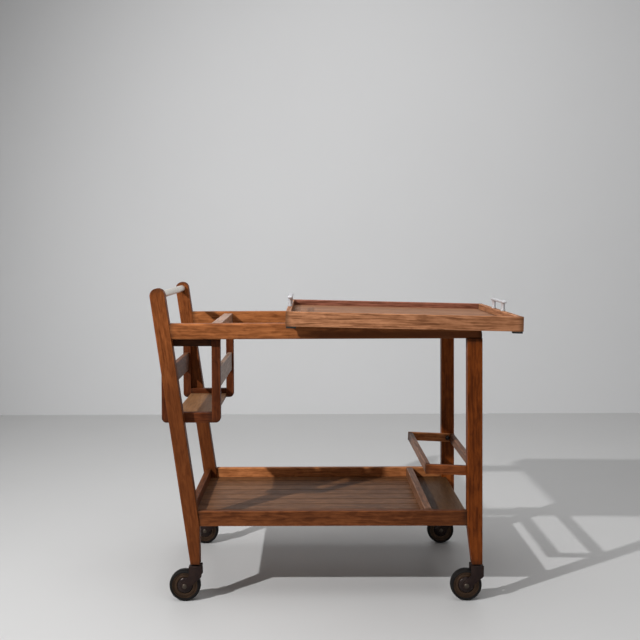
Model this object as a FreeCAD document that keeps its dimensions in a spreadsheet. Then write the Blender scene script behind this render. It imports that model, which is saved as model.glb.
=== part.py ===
"""Wooden bar cart on four casters, with a lift-off tray, a bottle rack and a tipping bottle guard.

Frame: +X runs from the handle end to the tray end, +Y from the near side to the far side, +Z up.
The origin is on the floor under the middle of the overall box. All sizes are in millimetres.
"""
import FreeCAD, Part
import math
import os
import re
import Sketcher

SIZES = [
    # Whole cart
    ("frame_length", 800.0),      # left side of the post tops to the right legs' outer face
    ("frame_depth", 450.0),       # near legs' outer face to far legs' outer face
    ("total_height", 760.0),      # floor to the tops of the posts
    ("glue_gap", 0.05),           # radial room round dowels, screws, sockets and the handle
    ("cut_overrun", 5.0),         # how far a cutting shape passes the face that it opens
    ("edge_round", 1.8),          # eased long edges of the wooden pieces
    ("board_round", 0.8),         # eased long edges of the thin boards

    # Legs
    ("leg_width", 36.0),
    ("leg_thickness", 27.0),
    ("post_lean", 8.2),           # degrees that the left legs lean out at the top
    ("foot_height", 90.0),        # floor to the end of the wood
    ("right_foot_width", 25.0),

    # Top frame
    ("rail_drop", 85.5),          # rails' top below the tops of the posts
    ("rail_height", 38.0),
    ("rail_thickness", 24.0),
    ("rail_inset", 1.5),          # rail's outer face behind the legs' outer face
    ("rail_corner_radius", 29.0),
    ("rail_round", 5.5),          # eased outer edges of the top rails
    ("bar_width", 24.0),          # cross-bar and end bar
    ("bar_drop", 5.0),            # bars' top below the rails' top
    ("bar_shift", 5.0),           # cross-bar's middle, left of the rack's right posts' middle

    # Handle
    ("handle_diameter", 18.0),
    ("handle_wall", 1.5),
    ("handle_socket_depth", 12.0),

    # Dowels
    ("dowel_diameter", 8.0),
    ("dowel_depth", 12.0),        # how far a dowel goes into each piece

    # Lower shelf
    ("shelf_top", 219.5),
    ("shelf_rail_height", 36.5),
    ("shelf_rail_thickness", 15.0),
    ("shelf_rail_inset", 3.5),
    ("shelf_floor_drop", 26.0),   # floor's top below the shelf rails' top
    ("board_thickness", 6.0),
    ("board_gap", 1.5),
    ("board_count", 9),
    ("bearer_width", 30.0),
    ("bearer_count", 3),
    ("end_rail_thickness", 16.0),
    ("end_rail_shift", 6.0),      # end rail's middle, left of the legs' middle line
    ("divider_thickness", 18.0),
    ("bay_length", 95.0),         # floor of the bottle bay, along X
    ("bay_setback", 24.0),        # bay floor's right edge, left of the right legs' outer face

    # Bottle guard
    ("guard_height", 23.0),
    ("guard_thickness", 12.0),
    ("guard_reach", 112.0),       # pivot to the guard's left face
    ("guard_tail", 19.0),         # pivot to the guard's right face
    ("guard_pivot_height", 309.8),
    ("guard_pivot_inset", 15.0),  # pivot, right of the right legs' left face
    ("guard_side_gap", 1.0),
    ("guard_tilt", 2.5),          # degrees that the left rail stands up at rest
    ("pivot_diameter", 6.0),
    ("pivot_head_diameter", 13.0),
    ("pivot_head_height", 5.0),
    ("pivot_head_gap", 0.3),
    ("pivot_bite", 18.0),         # how far the pivot screw goes into the leg

    # Bottle rack
    ("rack_width", 144.0),
    ("rack_height", 206.0),
    ("rack_post_width", 21.0),
    ("rack_post_depth", 19.0),
    ("rack_top_rail_height", 19.0),
    ("rack_bottom_rail_height", 24.5),
    ("rack_corner_radius", 12.0),
    ("rack_board_thickness", 11.5),
    ("rack_slat_height", 50.0),
    ("rack_slat_thickness", 12.0),
    ("rack_slat_rise", 79.0),     # slat's lower edge above the rack's bottom
    ("screw_diameter", 4.0),
    ("screw_head_diameter", 8.0),
    ("screw_head_height", 2.5),
    ("screw_bite", 16.0),         # how far a rack screw goes into the second piece
    ("screw_drop", 22.0),         # leg screws below the rack's top

    # Tray
    ("tray_length", 562.5),
    ("tray_overhang", 90.2),      # tray's right end, past the right legs' outer face
    ("tray_height", 35.4),
    ("tray_side_thickness", 12.0),
    ("tray_end_thickness", 12.0),
    ("tray_side_gap", 23.0),      # tray side's inner face to the top rail's outer face
    ("tray_skirt", 4.5),          # sides' lower edges below the ends' lower edges
    ("tray_floor_rise", 11.5),    # floor's underside above the ends' lower edges
    ("tray_floor_thickness", 4.0),
    ("tray_seat_gap", 0.1),
    ("pad_length", 24.0),
    ("pad_height", 4.6),
    ("pad_inset", 1.3),
    ("grip_length", 150.0),       # tray handle's bar
    ("grip_width", 12.0),
    ("grip_thickness", 7.0),
    ("grip_round", 2.5),
    ("grip_rise", 27.0),          # tray end's top to the handle bar's top
    ("grip_post_spacing", 113.0),
    ("grip_post_diameter", 10.0),
    ("grip_foot_diameter", 12.0),
    ("grip_foot_height", 3.0),

    # Casters
    ("wheel_diameter", 76.0),
    ("wheel_width", 22.0),
    ("tyre_thickness", 7.0),
    ("tyre_round", 5.0),
    ("bond_gap", 0.1),            # tyre's seat on the wheel core
    ("core_width", 18.0),
    ("dome_diameter", 38.0),
    ("dome_top_diameter", 22.0),
    ("dome_height", 2.0),
    ("axle_diameter", 6.0),
    ("running_gap", 0.06),        # radial room of an axle or stem in its bore
    ("axle_cap_diameter", 14.0),
    ("axle_cap_height", 2.5),
    ("caster_trail", 26.0),       # wheel's axle, left of the stem
    ("stem_diameter", 8.0),
    ("stem_length", 30.0),
    ("socket_wall", 2.0),
    ("socket_clearance", 3.0),    # empty socket above the stem's end
    ("flange_diameter", 18.0),
    ("flange_height", 3.0),
    ("thrust_gap", 0.3),          # flange to fork crown
    ("crown_diameter", 32.0),
    ("crown_height", 4.2),
    ("arm_thickness", 2.6),
    ("arm_gap", 1.2),             # fork arm's inner face to the wheel's side
    ("arm_top_width", 27.0),
    ("arm_boss_diameter", 18.0),
]

doc = FreeCAD.newDocument("bar_cart")
sheet = doc.addObject("Spreadsheet::Sheet", "dims")
for row, (alias, number) in enumerate(SIZES, start=1):
    sheet.set(f"A{row}", alias)
    sheet.set(f"B{row}", str(number))
    sheet.setAlias(f"B{row}", alias)
doc.recompute()

ALIAS = re.compile(r"\b(" + "|".join(alias for alias, _ in SIZES) + r")\b")
X_AXIS = FreeCAD.Vector(1, 0, 0)
Y_AXIS = FreeCAD.Vector(0, 1, 0)
Z_AXIS = FreeCAD.Vector(0, 0, 1)
AXES = {"X": X_AXIS, "Y": Y_AXIS, "Z": Z_AXIS}
SIDES = {"near": -1, "far": 1}
SAME_DIRECTION = 1e-6             # how far the cosine of two directions may be from 1
SAME_PLACE = 1e-4                 # how far apart two like coordinates may lie
parts = {}


# Helpers: values, bindings and basic shapes

def rule(text):
    """Return an expression whose size names point at the sheet's cells."""
    return ALIAS.sub(r"dims.\1", text)


def value(alias):
    """Return one driving size as a number."""
    return float(sheet.get(alias))


def bind(item, rules):
    """Tie properties of a document object to expressions on the sheet."""
    for prop, text in rules.items():
        item.setExpression(prop, rule(text))


def place(item, x, y, z):
    """Tie an object's position to expressions on the sheet."""
    bind(item, {"Placement.Base.x": x, "Placement.Base.y": y, "Placement.Base.z": z})


def box(name, corner, size):
    """Make a block from its lowest corner and its three sizes."""
    block = doc.addObject("Part::Box", name)
    bind(block, dict(zip(("Length", "Width", "Height"), size)))
    place(block, *corner)
    return block


def rod(name, start, radius, length, axis="Z"):
    """Make a cylinder that runs from a point along +X, +Y or +Z."""
    turned = {"X": (Y_AXIS, 90), "Y": (X_AXIS, -90), "Z": (Z_AXIS, 0)}[axis]
    cylinder = doc.addObject("Part::Cylinder", name)
    cylinder.Placement = FreeCAD.Placement(FreeCAD.Vector(), FreeCAD.Rotation(*turned))
    bind(cylinder, {"Radius": radius, "Height": length})
    place(cylinder, *start)
    return cylinder


def prism(name, outline, y, depth):
    """Make a flat plate from an outline of (x, z) expressions, with its thickness along +Y."""
    body = doc.addObject("PartDesign::Body", name)
    plane = [item for item in body.Origin.OriginFeatures if item.Role == "XZ_Plane"][0]
    sketch = body.newObject("Sketcher::SketchObject", f"{name}_outline")
    sketch.AttachmentSupport = [(plane, "")]
    sketch.MapMode = "FlatFace"
    count = len(outline)
    turns = [2 * math.pi * index / count for index in range(count)]
    corners = [FreeCAD.Vector(math.cos(turn), math.sin(turn), 0) for turn in turns]
    for index in range(count):
        sketch.addGeometry(Part.LineSegment(corners[index], corners[(index + 1) % count]), False)
    for index in range(count):
        sketch.addConstraint(Sketcher.Constraint("Coincident", index, 2, (index + 1) % count, 1))
    for index, ends in enumerate(outline):
        for kind, text in zip(("DistanceX", "DistanceY"), ends):
            number = sketch.addConstraint(Sketcher.Constraint(kind, -1, 1, index, 1, 1.0))
            sketch.setExpression(f"Constraints[{number}]", rule(text))
    pad = body.newObject("PartDesign::Pad", f"{name}_pad")
    pad.Profile = sketch
    pad.Reversed = True
    bind(pad, {"Length": depth})
    place(body, "0", y, "0")
    return body


def fuse(name, *items):
    """Join shapes into one solid."""
    joined = doc.addObject("Part::MultiFuse", name)
    joined.Shapes = list(items)
    joined.Refine = True
    return joined


def cut(name, base, *tools):
    """Take shapes away from a solid."""
    remains = doc.addObject("Part::Cut", name)
    remains.Base = base
    remains.Tool = tools[0] if len(tools) == 1 else fuse(f"{name}_tools", *tools)
    return remains


def round_edges(name, base, radius_name, chosen):
    """Round the edges of a solid for which chosen(edge) is true."""
    doc.recompute()
    radius = value(radius_name)
    rounded = doc.addObject("Part::Fillet", name)
    rounded.Base = base
    numbers = [number for number, edge in enumerate(base.Shape.Edges, start=1) if chosen(edge)]
    rounded.Edges = [(number, radius, radius) for number in numbers]
    return rounded


def along(axis):
    """Return a test for straight edges that run along an axis."""
    def test(edge):
        """Tell whether an edge is straight and runs that way."""
        if edge.Curve.TypeId != "Part::GeomLine":
            return False
        cosine = abs(edge.tangentAt(edge.FirstParameter).dot(AXES[axis]))
        return abs(cosine - 1) < SAME_DIRECTION
    return test


def same(first, second):
    """Tell whether two coordinates are the same place."""
    return abs(first - second) < SAME_PLACE


def across_y(edge):
    """Tell whether an edge lies in one plane square to Y, as the outline of a plate does."""
    return same(edge.BoundBox.YMin, edge.BoundBox.YMax)


def keep(label, item):
    """Register a finished sub-part under the name of its node."""
    item.Label = label
    parts[label] = item
    return item


def keep_group(label, items):
    """Register separate like solids as one node."""
    group = doc.addObject("Part::Compound", f"{label}_group")
    group.Links = list(items)
    return keep(label, group)


def stick(name, corner, size, axis, radius_name="edge_round"):
    """Make a straight wooden member with its long edges eased."""
    return round_edges(f"{name}_eased", box(f"{name}_blank", corner, size), radius_name, along(axis))


def drilled(name, item, holes):
    """Cut holes into an item, if it has any."""
    return cut(f"{name}_drilled", item, *holes) if holes else item


# Places that several pieces share, as expressions on the sheet

LEFT = "(-(frame_length + tray_overhang) / 2)"
RIGHT = f"({LEFT} + frame_length)"
HANDLE_X = f"({LEFT} + leg_width / 2)"
HANDLE_Z = "(total_height - leg_width / 2)"
LEG_INNER_Y = "(frame_depth / 2 - leg_thickness)"
LEG_MIDDLE_Y = "(frame_depth / 2 - leg_thickness / 2)"
HALF_ACROSS = "(leg_width / 2 / cos(post_lean))"
RIGHT_LEG_X = f"({RIGHT} - leg_width)"
RAIL_TOP = "(total_height - rail_drop)"
RAIL_BOTTOM = f"({RAIL_TOP} - rail_height)"
RAIL_OUTER_Y = "(frame_depth / 2 - rail_inset)"
RAIL_INNER_Y = f"({RAIL_OUTER_Y} - rail_thickness)"
RAIL_MIDDLE_Y = f"({RAIL_OUTER_Y} - rail_thickness / 2)"
SHELF_BOTTOM = "(shelf_top - shelf_rail_height)"
SHELF_MIDDLE = "(shelf_top - shelf_rail_height / 2)"
SHELF_OUTER_Y = "(frame_depth / 2 - shelf_rail_inset)"
SHELF_INNER_Y = f"({SHELF_OUTER_Y} - shelf_rail_thickness)"
SHELF_FLOOR = "(shelf_top - shelf_floor_drop)"
BOARD_BOTTOM = f"({SHELF_FLOOR} - board_thickness)"
DOWEL_R = "(dowel_diameter / 2)"
DOWEL_HOLE_R = f"({DOWEL_R} + glue_gap)"


def post_x(height):
    """Return the X of the left legs' middle line at a height."""
    return f"({HANDLE_X} + ({HANDLE_Z} - ({height})) * tan(post_lean))"


def from_y(side, inner, thickness):
    """Return the lower Y of a piece whose inner face is at +-inner and which goes outwards."""
    return f"-({inner}) - ({thickness})" if side == "near" else f"({inner})"


FOOT_INNER_X = f"({post_x(SHELF_BOTTOM)} + {HALF_ACROSS})"
FOOT_OUTER_X = f"({post_x('foot_height')} - {HALF_ACROSS})"
LEFT_STEM_X = f"(({FOOT_INNER_X} + {FOOT_OUTER_X}) / 2)"
RIGHT_STEM_X = f"({RIGHT} - right_foot_width / 2)"
STEMS = {"left": LEFT_STEM_X, "right": RIGHT_STEM_X}

RACK_TOP = RAIL_BOTTOM
RACK_BOTTOM = f"({RACK_TOP} - rack_height)"
RACK_X = f"({post_x(RACK_TOP)} - rack_post_width / 2)"
RACK_RIGHT_POST_X = f"({RACK_X} + rack_width - rack_post_width)"
RACK_OUTER_Y = LEG_INNER_Y
RACK_INNER_Y = f"({RACK_OUTER_Y} - rack_post_depth)"
CROSSBAR_X = f"({RACK_RIGHT_POST_X} + rack_post_width / 2 - bar_shift - bar_width / 2)"
ENDBAR_X = RIGHT_LEG_X
BAR_TOP = f"({RAIL_TOP} - bar_drop)"
BAR_MIDDLE = f"(({BAR_TOP} + {RAIL_BOTTOM}) / 2)"

END_RAIL_X = f"({post_x(SHELF_MIDDLE)} - end_rail_shift - end_rail_thickness / 2)"
FLOOR_START_X = f"({END_RAIL_X} + end_rail_thickness)"
BAY_END_X = f"({RIGHT} - bay_setback)"
BAY_X = f"({BAY_END_X} - bay_length)"
DIVIDER_X = f"({BAY_X} - divider_thickness)"

PIVOT_X = f"({RIGHT_LEG_X} + guard_pivot_inset)"
PIVOT_R = "(pivot_diameter / 2)"
GUARD_OUTER_Y = f"({LEG_INNER_Y} - guard_side_gap)"
GUARD_INNER_Y = f"({GUARD_OUTER_Y} - guard_thickness)"

SCREW_R = "(screw_diameter / 2)"
SCREW_HOLE_R = f"({SCREW_R} + glue_gap)"
LEG_SCREW_X = f"({RACK_X} + rack_post_width / 2)"
LEG_SCREW_Z = f"({RACK_TOP} - screw_drop)"
BAR_SCREW_X = f"({CROSSBAR_X} + bar_width / 2)"
POST_MIDDLE_Y = f"({RACK_OUTER_Y} - rack_post_depth / 2)"

SOCKET_R = "(stem_diameter / 2 + socket_wall)"
SOCKET_DEPTH = "(stem_length + socket_clearance)"
CROWN_TOP = "(foot_height - flange_height - thrust_gap)"
CROWN_BOTTOM = f"({CROWN_TOP} - crown_height)"
AXLE_Z = "(wheel_diameter / 2)"
ARM_INNER = "(wheel_width / 2 + arm_gap)"


# Dowels: each is a round peg, with a hole in each of the two pieces that it joins

def dowel(name, x, y, z, axis):
    """Make a dowel centred on a point and return it with a maker of its holes."""
    middle = {"X": x, "Y": y, "Z": z}

    def start():
        """Return the peg's first point, half its length before its middle."""
        moved = dict(middle)
        moved[axis] = f"{moved[axis]} - dowel_depth"
        return moved["X"], moved["Y"], moved["Z"]

    pegs.append(rod(f"{name}_peg", start(), DOWEL_R, "2 * dowel_depth", axis))
    return lambda owner: rod(f"{owner}_{name}_hole", start(), DOWEL_HOLE_R, "2 * dowel_depth", axis)


pegs = []
joints = {}
for side, sign in SIDES.items():
    rail_y = f"{sign} * {RAIL_MIDDLE_Y}"
    shelf_y = f"{sign} * ({SHELF_INNER_Y} + shelf_rail_thickness / 2)"
    rail_middle = f"({RAIL_TOP} - rail_height / 2)"
    joints[side] = {
        "rail_to_post": dowel(f"{side}_rail_to_post", f"{post_x(rail_middle)} + {HALF_ACROSS}",
                              rail_y, rail_middle, "X"),
        "rail_to_leg": dowel(f"{side}_rail_to_leg", f"{RIGHT} - leg_width / 2 + dowel_diameter",
                             rail_y, RAIL_BOTTOM, "Z"),
        "shelf_to_post": dowel(f"{side}_shelf_to_post", f"{post_x(SHELF_MIDDLE)} + {HALF_ACROSS}",
                               shelf_y, SHELF_MIDDLE, "X"),
        "shelf_to_leg": dowel(f"{side}_shelf_to_leg", RIGHT_LEG_X, shelf_y, SHELF_MIDDLE, "X"),
        "end_rail": dowel(f"{side}_end_rail", f"{END_RAIL_X} + end_rail_thickness / 2",
                          f"{sign} * {LEG_INNER_Y}", SHELF_MIDDLE, "Y"),
        "divider": dowel(f"{side}_divider", f"{DIVIDER_X} + divider_thickness / 2",
                         f"{sign} * {SHELF_INNER_Y}", f"(shelf_top + {BOARD_BOTTOM}) / 2", "Y"),
        "cross_bar": dowel(f"{side}_cross_bar", f"{CROSSBAR_X} + bar_width / 4",
                           f"{sign} * {RAIL_INNER_Y}", BAR_MIDDLE, "Y"),
        "end_bar": dowel(f"{side}_end_bar", f"{ENDBAR_X} + bar_width / 2",
                         f"{sign} * {RAIL_INNER_Y}", BAR_MIDDLE, "Y"),
    }


def dowel_holes(owner, side, names):
    """Make the holes that an owner has for the named dowels of one side."""
    return [joints[side][name](owner) for name in names]


# Legs

def caster_hole(owner, x, y):
    """Make the hole for a caster's socket in the end of a leg."""
    return rod(f"{owner}_socket_hole", (x, y, "foot_height - cut_overrun"), f"{SOCKET_R} + glue_gap",
               f"{SOCKET_DEPTH} + cut_overrun")


def left_leg(side, sign):
    """Make a slanted leg that rises to the handle and ends in a full round."""
    name = f"{side}_left_leg"
    y = from_y(side, LEG_INNER_Y, "leg_thickness")
    half = "leg_width / 2"
    outline = [
        (FOOT_OUTER_X, "foot_height"),
        (FOOT_INNER_X, "foot_height"),
        (FOOT_INNER_X, SHELF_BOTTOM),
        (f"{HANDLE_X} + {half} * cos(post_lean)", f"{HANDLE_Z} + {half} * sin(post_lean)"),
        (f"{HANDLE_X} - {half} * cos(post_lean)", f"{HANDLE_Z} - {half} * sin(post_lean)"),
    ]
    shaft = prism(f"{name}_shaft", outline, y, "leg_thickness")
    top = rod(f"{name}_top", (HANDLE_X, y, HANDLE_Z), half, "leg_thickness", "Y")
    eased = round_edges(f"{name}_eased", fuse(f"{name}_blank", shaft, top), "edge_round", across_y)
    middle_y = f"{sign} * {LEG_MIDDLE_Y}"
    handle_y = f"{sign} * {LEG_INNER_Y} - handle_socket_depth"
    screw_y = f"{sign} * {LEG_INNER_Y} - screw_bite"
    holes = dowel_holes(name, side, ["rail_to_post", "shelf_to_post", "end_rail"])
    holes += [
        caster_hole(name, LEFT_STEM_X, middle_y),
        rod(f"{name}_handle_hole", (HANDLE_X, handle_y, HANDLE_Z), "handle_diameter / 2 + glue_gap",
            "2 * handle_socket_depth", "Y"),
        rod(f"{name}_screw_hole", (LEG_SCREW_X, screw_y, LEG_SCREW_Z), SCREW_HOLE_R, "2 * screw_bite", "Y"),
    ]
    keep(name, drilled(name, eased, holes))


def right_leg(side, sign):
    """Make an upright leg whose foot tapers on its inner side."""
    name = f"{side}_right_leg"
    y = from_y(side, LEG_INNER_Y, "leg_thickness")
    outline = [
        (f"{RIGHT} - right_foot_width", "foot_height"),
        (RIGHT, "foot_height"),
        (RIGHT, RAIL_BOTTOM),
        (RIGHT_LEG_X, RAIL_BOTTOM),
        (RIGHT_LEG_X, SHELF_BOTTOM),
    ]
    shaft = prism(f"{name}_shaft", outline, y, "leg_thickness")

    def long_edge(edge):
        """Tell whether an edge runs down the leg, and not across its top or foot."""
        return across_y(edge) and not same(edge.BoundBox.ZMin, edge.BoundBox.ZMax)

    eased = round_edges(f"{name}_eased", shaft, "edge_round", long_edge)
    pivot_y = f"{sign} * {LEG_INNER_Y} - pivot_bite"
    holes = dowel_holes(name, side, ["rail_to_leg", "shelf_to_leg"])
    holes += [
        caster_hole(name, RIGHT_STEM_X, f"{sign} * {LEG_MIDDLE_Y}"),
        rod(f"{name}_pivot_hole", (PIVOT_X, pivot_y, "guard_pivot_height"), f"{PIVOT_R} + glue_gap",
            "2 * pivot_bite", "Y"),
    ]
    keep(name, drilled(name, eased, holes))


# Top frame and handle

def top_rail(side, sign):
    """Make a side rail: slanted at the post, rounded over the right leg."""
    name = f"{side}_top_rail"
    y = from_y(side, RAIL_INNER_Y, "rail_thickness")
    outline = [
        (f"{post_x(RAIL_BOTTOM)} + {HALF_ACROSS}", RAIL_BOTTOM),
        (RIGHT, RAIL_BOTTOM),
        (RIGHT, RAIL_TOP),
        (f"{post_x(RAIL_TOP)} + {HALF_ACROSS}", RAIL_TOP),
    ]
    plate = prism(f"{name}_plate", outline, y, "rail_thickness")
    doc.recompute()
    right = plate.Shape.BoundBox.XMax
    top = plate.Shape.BoundBox.ZMax

    def corner(edge):
        """Tell whether an edge is the corner over the leg."""
        middle = edge.CenterOfMass
        return along("Y")(edge) and same(middle.x, right) and same(middle.z, top)

    cornered = round_edges(f"{name}_cornered", plate, "rail_corner_radius", corner)
    doc.recompute()
    outer = sign * max(abs(cornered.Shape.BoundBox.YMin), abs(cornered.Shape.BoundBox.YMax))

    def outer_edge(edge):
        """Tell whether an edge borders the outer face, along its top, corner and lower side."""
        bounds = edge.BoundBox
        on_face = across_y(edge) and same(bounds.YMin, outer)
        return on_face and bounds.XLength > value("rail_corner_radius") / 2

    eased = round_edges(f"{name}_eased", cornered, "rail_round", outer_edge)
    holes = dowel_holes(name, side, ["rail_to_post", "rail_to_leg", "cross_bar", "end_bar"])
    keep(name, drilled(name, eased, holes))


def top_bars():
    """Make the cross-bar over the rack and the end bar between the right legs."""
    depth = f"2 * {RAIL_INNER_Y}"
    height = f"{BAR_TOP} - {RAIL_BOTTOM}"
    for joint, x in (("cross_bar", CROSSBAR_X), ("end_bar", ENDBAR_X)):
        name = f"top_{joint}"
        bar = stick(name, (x, f"-{RAIL_INNER_Y}", RAIL_BOTTOM), ("bar_width", depth, height), "Y")
        holes = [hole for side in SIDES for hole in dowel_holes(name, side, [joint])]
        if joint == "cross_bar":
            holes += [hole for side, sign in SIDES.items() for hole in bar_screw_holes(name, side, sign)]
        keep(name, drilled(name, bar, holes))


def handle_tube():
    """Make the tube that joins the post tops."""
    reach = f"({LEG_INNER_Y} + handle_socket_depth)"
    outside = rod("handle_outside", (HANDLE_X, f"-{reach}", HANDLE_Z),
                  "handle_diameter / 2", f"2 * {reach}", "Y")
    inside = rod("handle_inside", (HANDLE_X, f"-{reach} - cut_overrun", HANDLE_Z),
                 "handle_diameter / 2 - handle_wall", f"2 * ({reach} + cut_overrun)", "Y")
    keep("handle_tube", cut("handle_cut", outside, inside))


# Lower shelf

def leg_notches(owner, start_x, end_x, sides=tuple(SIDES)):
    """Make the cuts in a piece of the shelf's floor that let the legs pass."""
    depth = "frame_depth / 2"
    size = (f"{end_x} - {start_x}", depth, "shelf_rail_height + 2 * cut_overrun")
    low = f"{SHELF_BOTTOM} - cut_overrun"
    return [box(f"{owner}_{side}_notch", (start_x, from_y(side, LEG_INNER_Y, depth), low), size)
            for side in sides]


def shelf():
    """Make the shelf's rails, divider, boards, bay floor and bearers."""
    for side in SIDES:
        name = f"{side}_shelf_rail"
        outline = [
            (f"{post_x(SHELF_BOTTOM)} + {HALF_ACROSS}", SHELF_BOTTOM),
            (RIGHT_LEG_X, SHELF_BOTTOM),
            (RIGHT_LEG_X, "shelf_top"),
            (f"{post_x('shelf_top')} + {HALF_ACROSS}", "shelf_top"),
        ]
        y = from_y(side, SHELF_INNER_Y, "shelf_rail_thickness")
        plate = prism(f"{name}_plate", outline, y, "shelf_rail_thickness")
        eased = round_edges(f"{name}_eased", plate, "edge_round", along("X"))
        holes = dowel_holes(name, side, ["shelf_to_post", "shelf_to_leg", "divider"])
        keep(name, drilled(name, eased, holes))

    crosspieces = {
        "shelf_end_rail": (END_RAIL_X, LEG_INNER_Y, SHELF_BOTTOM, "end_rail_thickness", "end_rail"),
        "shelf_divider": (DIVIDER_X, SHELF_INNER_Y, BOARD_BOTTOM, "divider_thickness", "divider"),
    }
    for name, (x, half_span, low, thickness, joint) in crosspieces.items():
        size = (thickness, f"2 * {half_span}", f"shelf_top - {low}")
        bar = stick(name, (x, f"-{half_span}", low), size, "Y")
        holes = [hole for side in SIDES for hole in dowel_holes(name, side, [joint])]
        keep(name, drilled(name, bar, holes))

    span = f"(2 * {SHELF_INNER_Y})"
    board_width = f"(({span} - (board_count - 1) * board_gap) / board_count)"
    boards = []
    for number in range(int(value("board_count"))):
        y = f"-{SHELF_INNER_Y} + {number} * ({board_width} + board_gap)"
        size = (f"{DIVIDER_X} - {FLOOR_START_X}", board_width, "board_thickness")
        boards.append(stick(f"board_{number}", (FLOOR_START_X, y, BOARD_BOTTOM), size, "X", "board_round"))
    left_legs = (f"({FLOOR_START_X} - cut_overrun)", FOOT_INNER_X)
    right_legs = (RIGHT_LEG_X, f"({RIGHT} + cut_overrun)")
    for side, number in (("near", 0), ("far", -1)):
        notches = leg_notches(f"{side}_board", *left_legs, [side])
        boards[number] = drilled(f"{side}_board", boards[number], notches)
    keep_group("shelf_boards", boards)

    corner = (BAY_X, f"-{SHELF_INNER_Y}", BOARD_BOTTOM)
    size = ("bay_length", span, "board_thickness")
    bay = stick("bay_floor", corner, size, "Y", "board_round")
    keep("bay_floor", drilled("bay_floor", bay, leg_notches("bay_floor", *right_legs)))

    bearers = []
    count = int(value("bearer_count"))
    last_x = f"({DIVIDER_X} - bearer_width / 2)"
    places = [f"{FLOOR_START_X} + {number} * ({last_x} - {FLOOR_START_X}) / (bearer_count - 1)"
              for number in range(count)]
    places.append(f"{BAY_END_X} - bearer_width")
    size = ("bearer_width", span, f"{BOARD_BOTTOM} - {SHELF_BOTTOM}")
    for number, x in enumerate(places):
        bearers.append(box(f"bearer_{number}", (x, f"-{SHELF_INNER_Y}", SHELF_BOTTOM), size))
    for number, legs in ((0, left_legs), (-1, right_legs)):
        name = f"bearer_at_{'left' if number == 0 else 'right'}_legs"
        bearers[number] = drilled(name, bearers[number], leg_notches(name, *legs))
    keep_group("shelf_bearers", bearers)


# Bottle guard, built about its pivot and then tipped

def tip(item, angle, x, z):
    """Turn a piece that was built about the origin, and move it to its pivot line."""
    item.Placement = FreeCAD.Placement(FreeCAD.Vector(), FreeCAD.Rotation(Y_AXIS, 1))
    bind(item, {"Placement.Rotation.Angle": angle})
    place(item, x, "0", z)
    return item


def bottle_guard():
    """Make the four rails of the guard and its two pivot screws."""
    low = "-guard_height / 2"
    left = "-guard_reach"
    length = "guard_reach + guard_tail"
    pieces = {}
    for side in SIDES:
        name = f"{side}_guard_rail"
        y = from_y(side, GUARD_INNER_Y, "guard_thickness")
        rail = stick(name, (left, y, low), (length, "guard_thickness", "guard_height"), "X")
        hole = rod(f"{name}_pivot_hole", ("0", f"{y} - cut_overrun", "0"), f"{PIVOT_R} + running_gap",
                   "guard_thickness + 2 * cut_overrun", "Y")
        pieces[name] = cut(f"{name}_drilled", rail, hole)
    for name, x in (("left_guard_rail", left), ("right_guard_rail", "guard_tail - guard_thickness")):
        pieces[name] = stick(name, (x, f"-{GUARD_INNER_Y}", low),
                             ("guard_thickness", f"2 * {GUARD_INNER_Y}", "guard_height"), "Y")
    for name, piece in pieces.items():
        keep(name, tip(piece, "guard_tilt", PIVOT_X, "guard_pivot_height"))

    screws = []
    head_inner = f"({GUARD_INNER_Y} - pivot_head_gap - pivot_head_height)"
    bite_end = f"({LEG_INNER_Y} + pivot_bite)"
    for side in SIDES:
        shank_y = f"-{bite_end}" if side == "near" else head_inner
        head_y = from_y(side, head_inner, "pivot_head_height")
        shank = rod(f"{side}_pivot_shank", (PIVOT_X, shank_y, "guard_pivot_height"), PIVOT_R,
                    f"{bite_end} - {head_inner}", "Y")
        head = rod(f"{side}_pivot_head", (PIVOT_X, head_y, "guard_pivot_height"), "pivot_head_diameter / 2",
                   "pivot_head_height", "Y")
        screws.append(fuse(f"{side}_pivot_screw", shank, head))
    keep_group("guard_pivot_screws", screws)


# Bottle rack

def bar_screw_holes(owner, side, sign):
    """Make the hole for the screw that goes down through the cross-bar into a rack post."""
    start = (BAR_SCREW_X, f"{sign} * {POST_MIDDLE_Y}", f"{RACK_TOP} - screw_bite")
    shank = rod(f"{owner}_{side}_bar_screw_hole", start, SCREW_HOLE_R,
                f"{BAR_TOP} - {RACK_TOP} + 2 * screw_bite")
    start = (BAR_SCREW_X, f"{sign} * {POST_MIDDLE_Y}", f"{BAR_TOP} - screw_head_height - glue_gap")
    head = rod(f"{owner}_{side}_bar_screw_seat", start, "screw_head_diameter / 2 + glue_gap",
               "screw_head_height + cut_overrun")
    return [shank, head]


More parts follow.
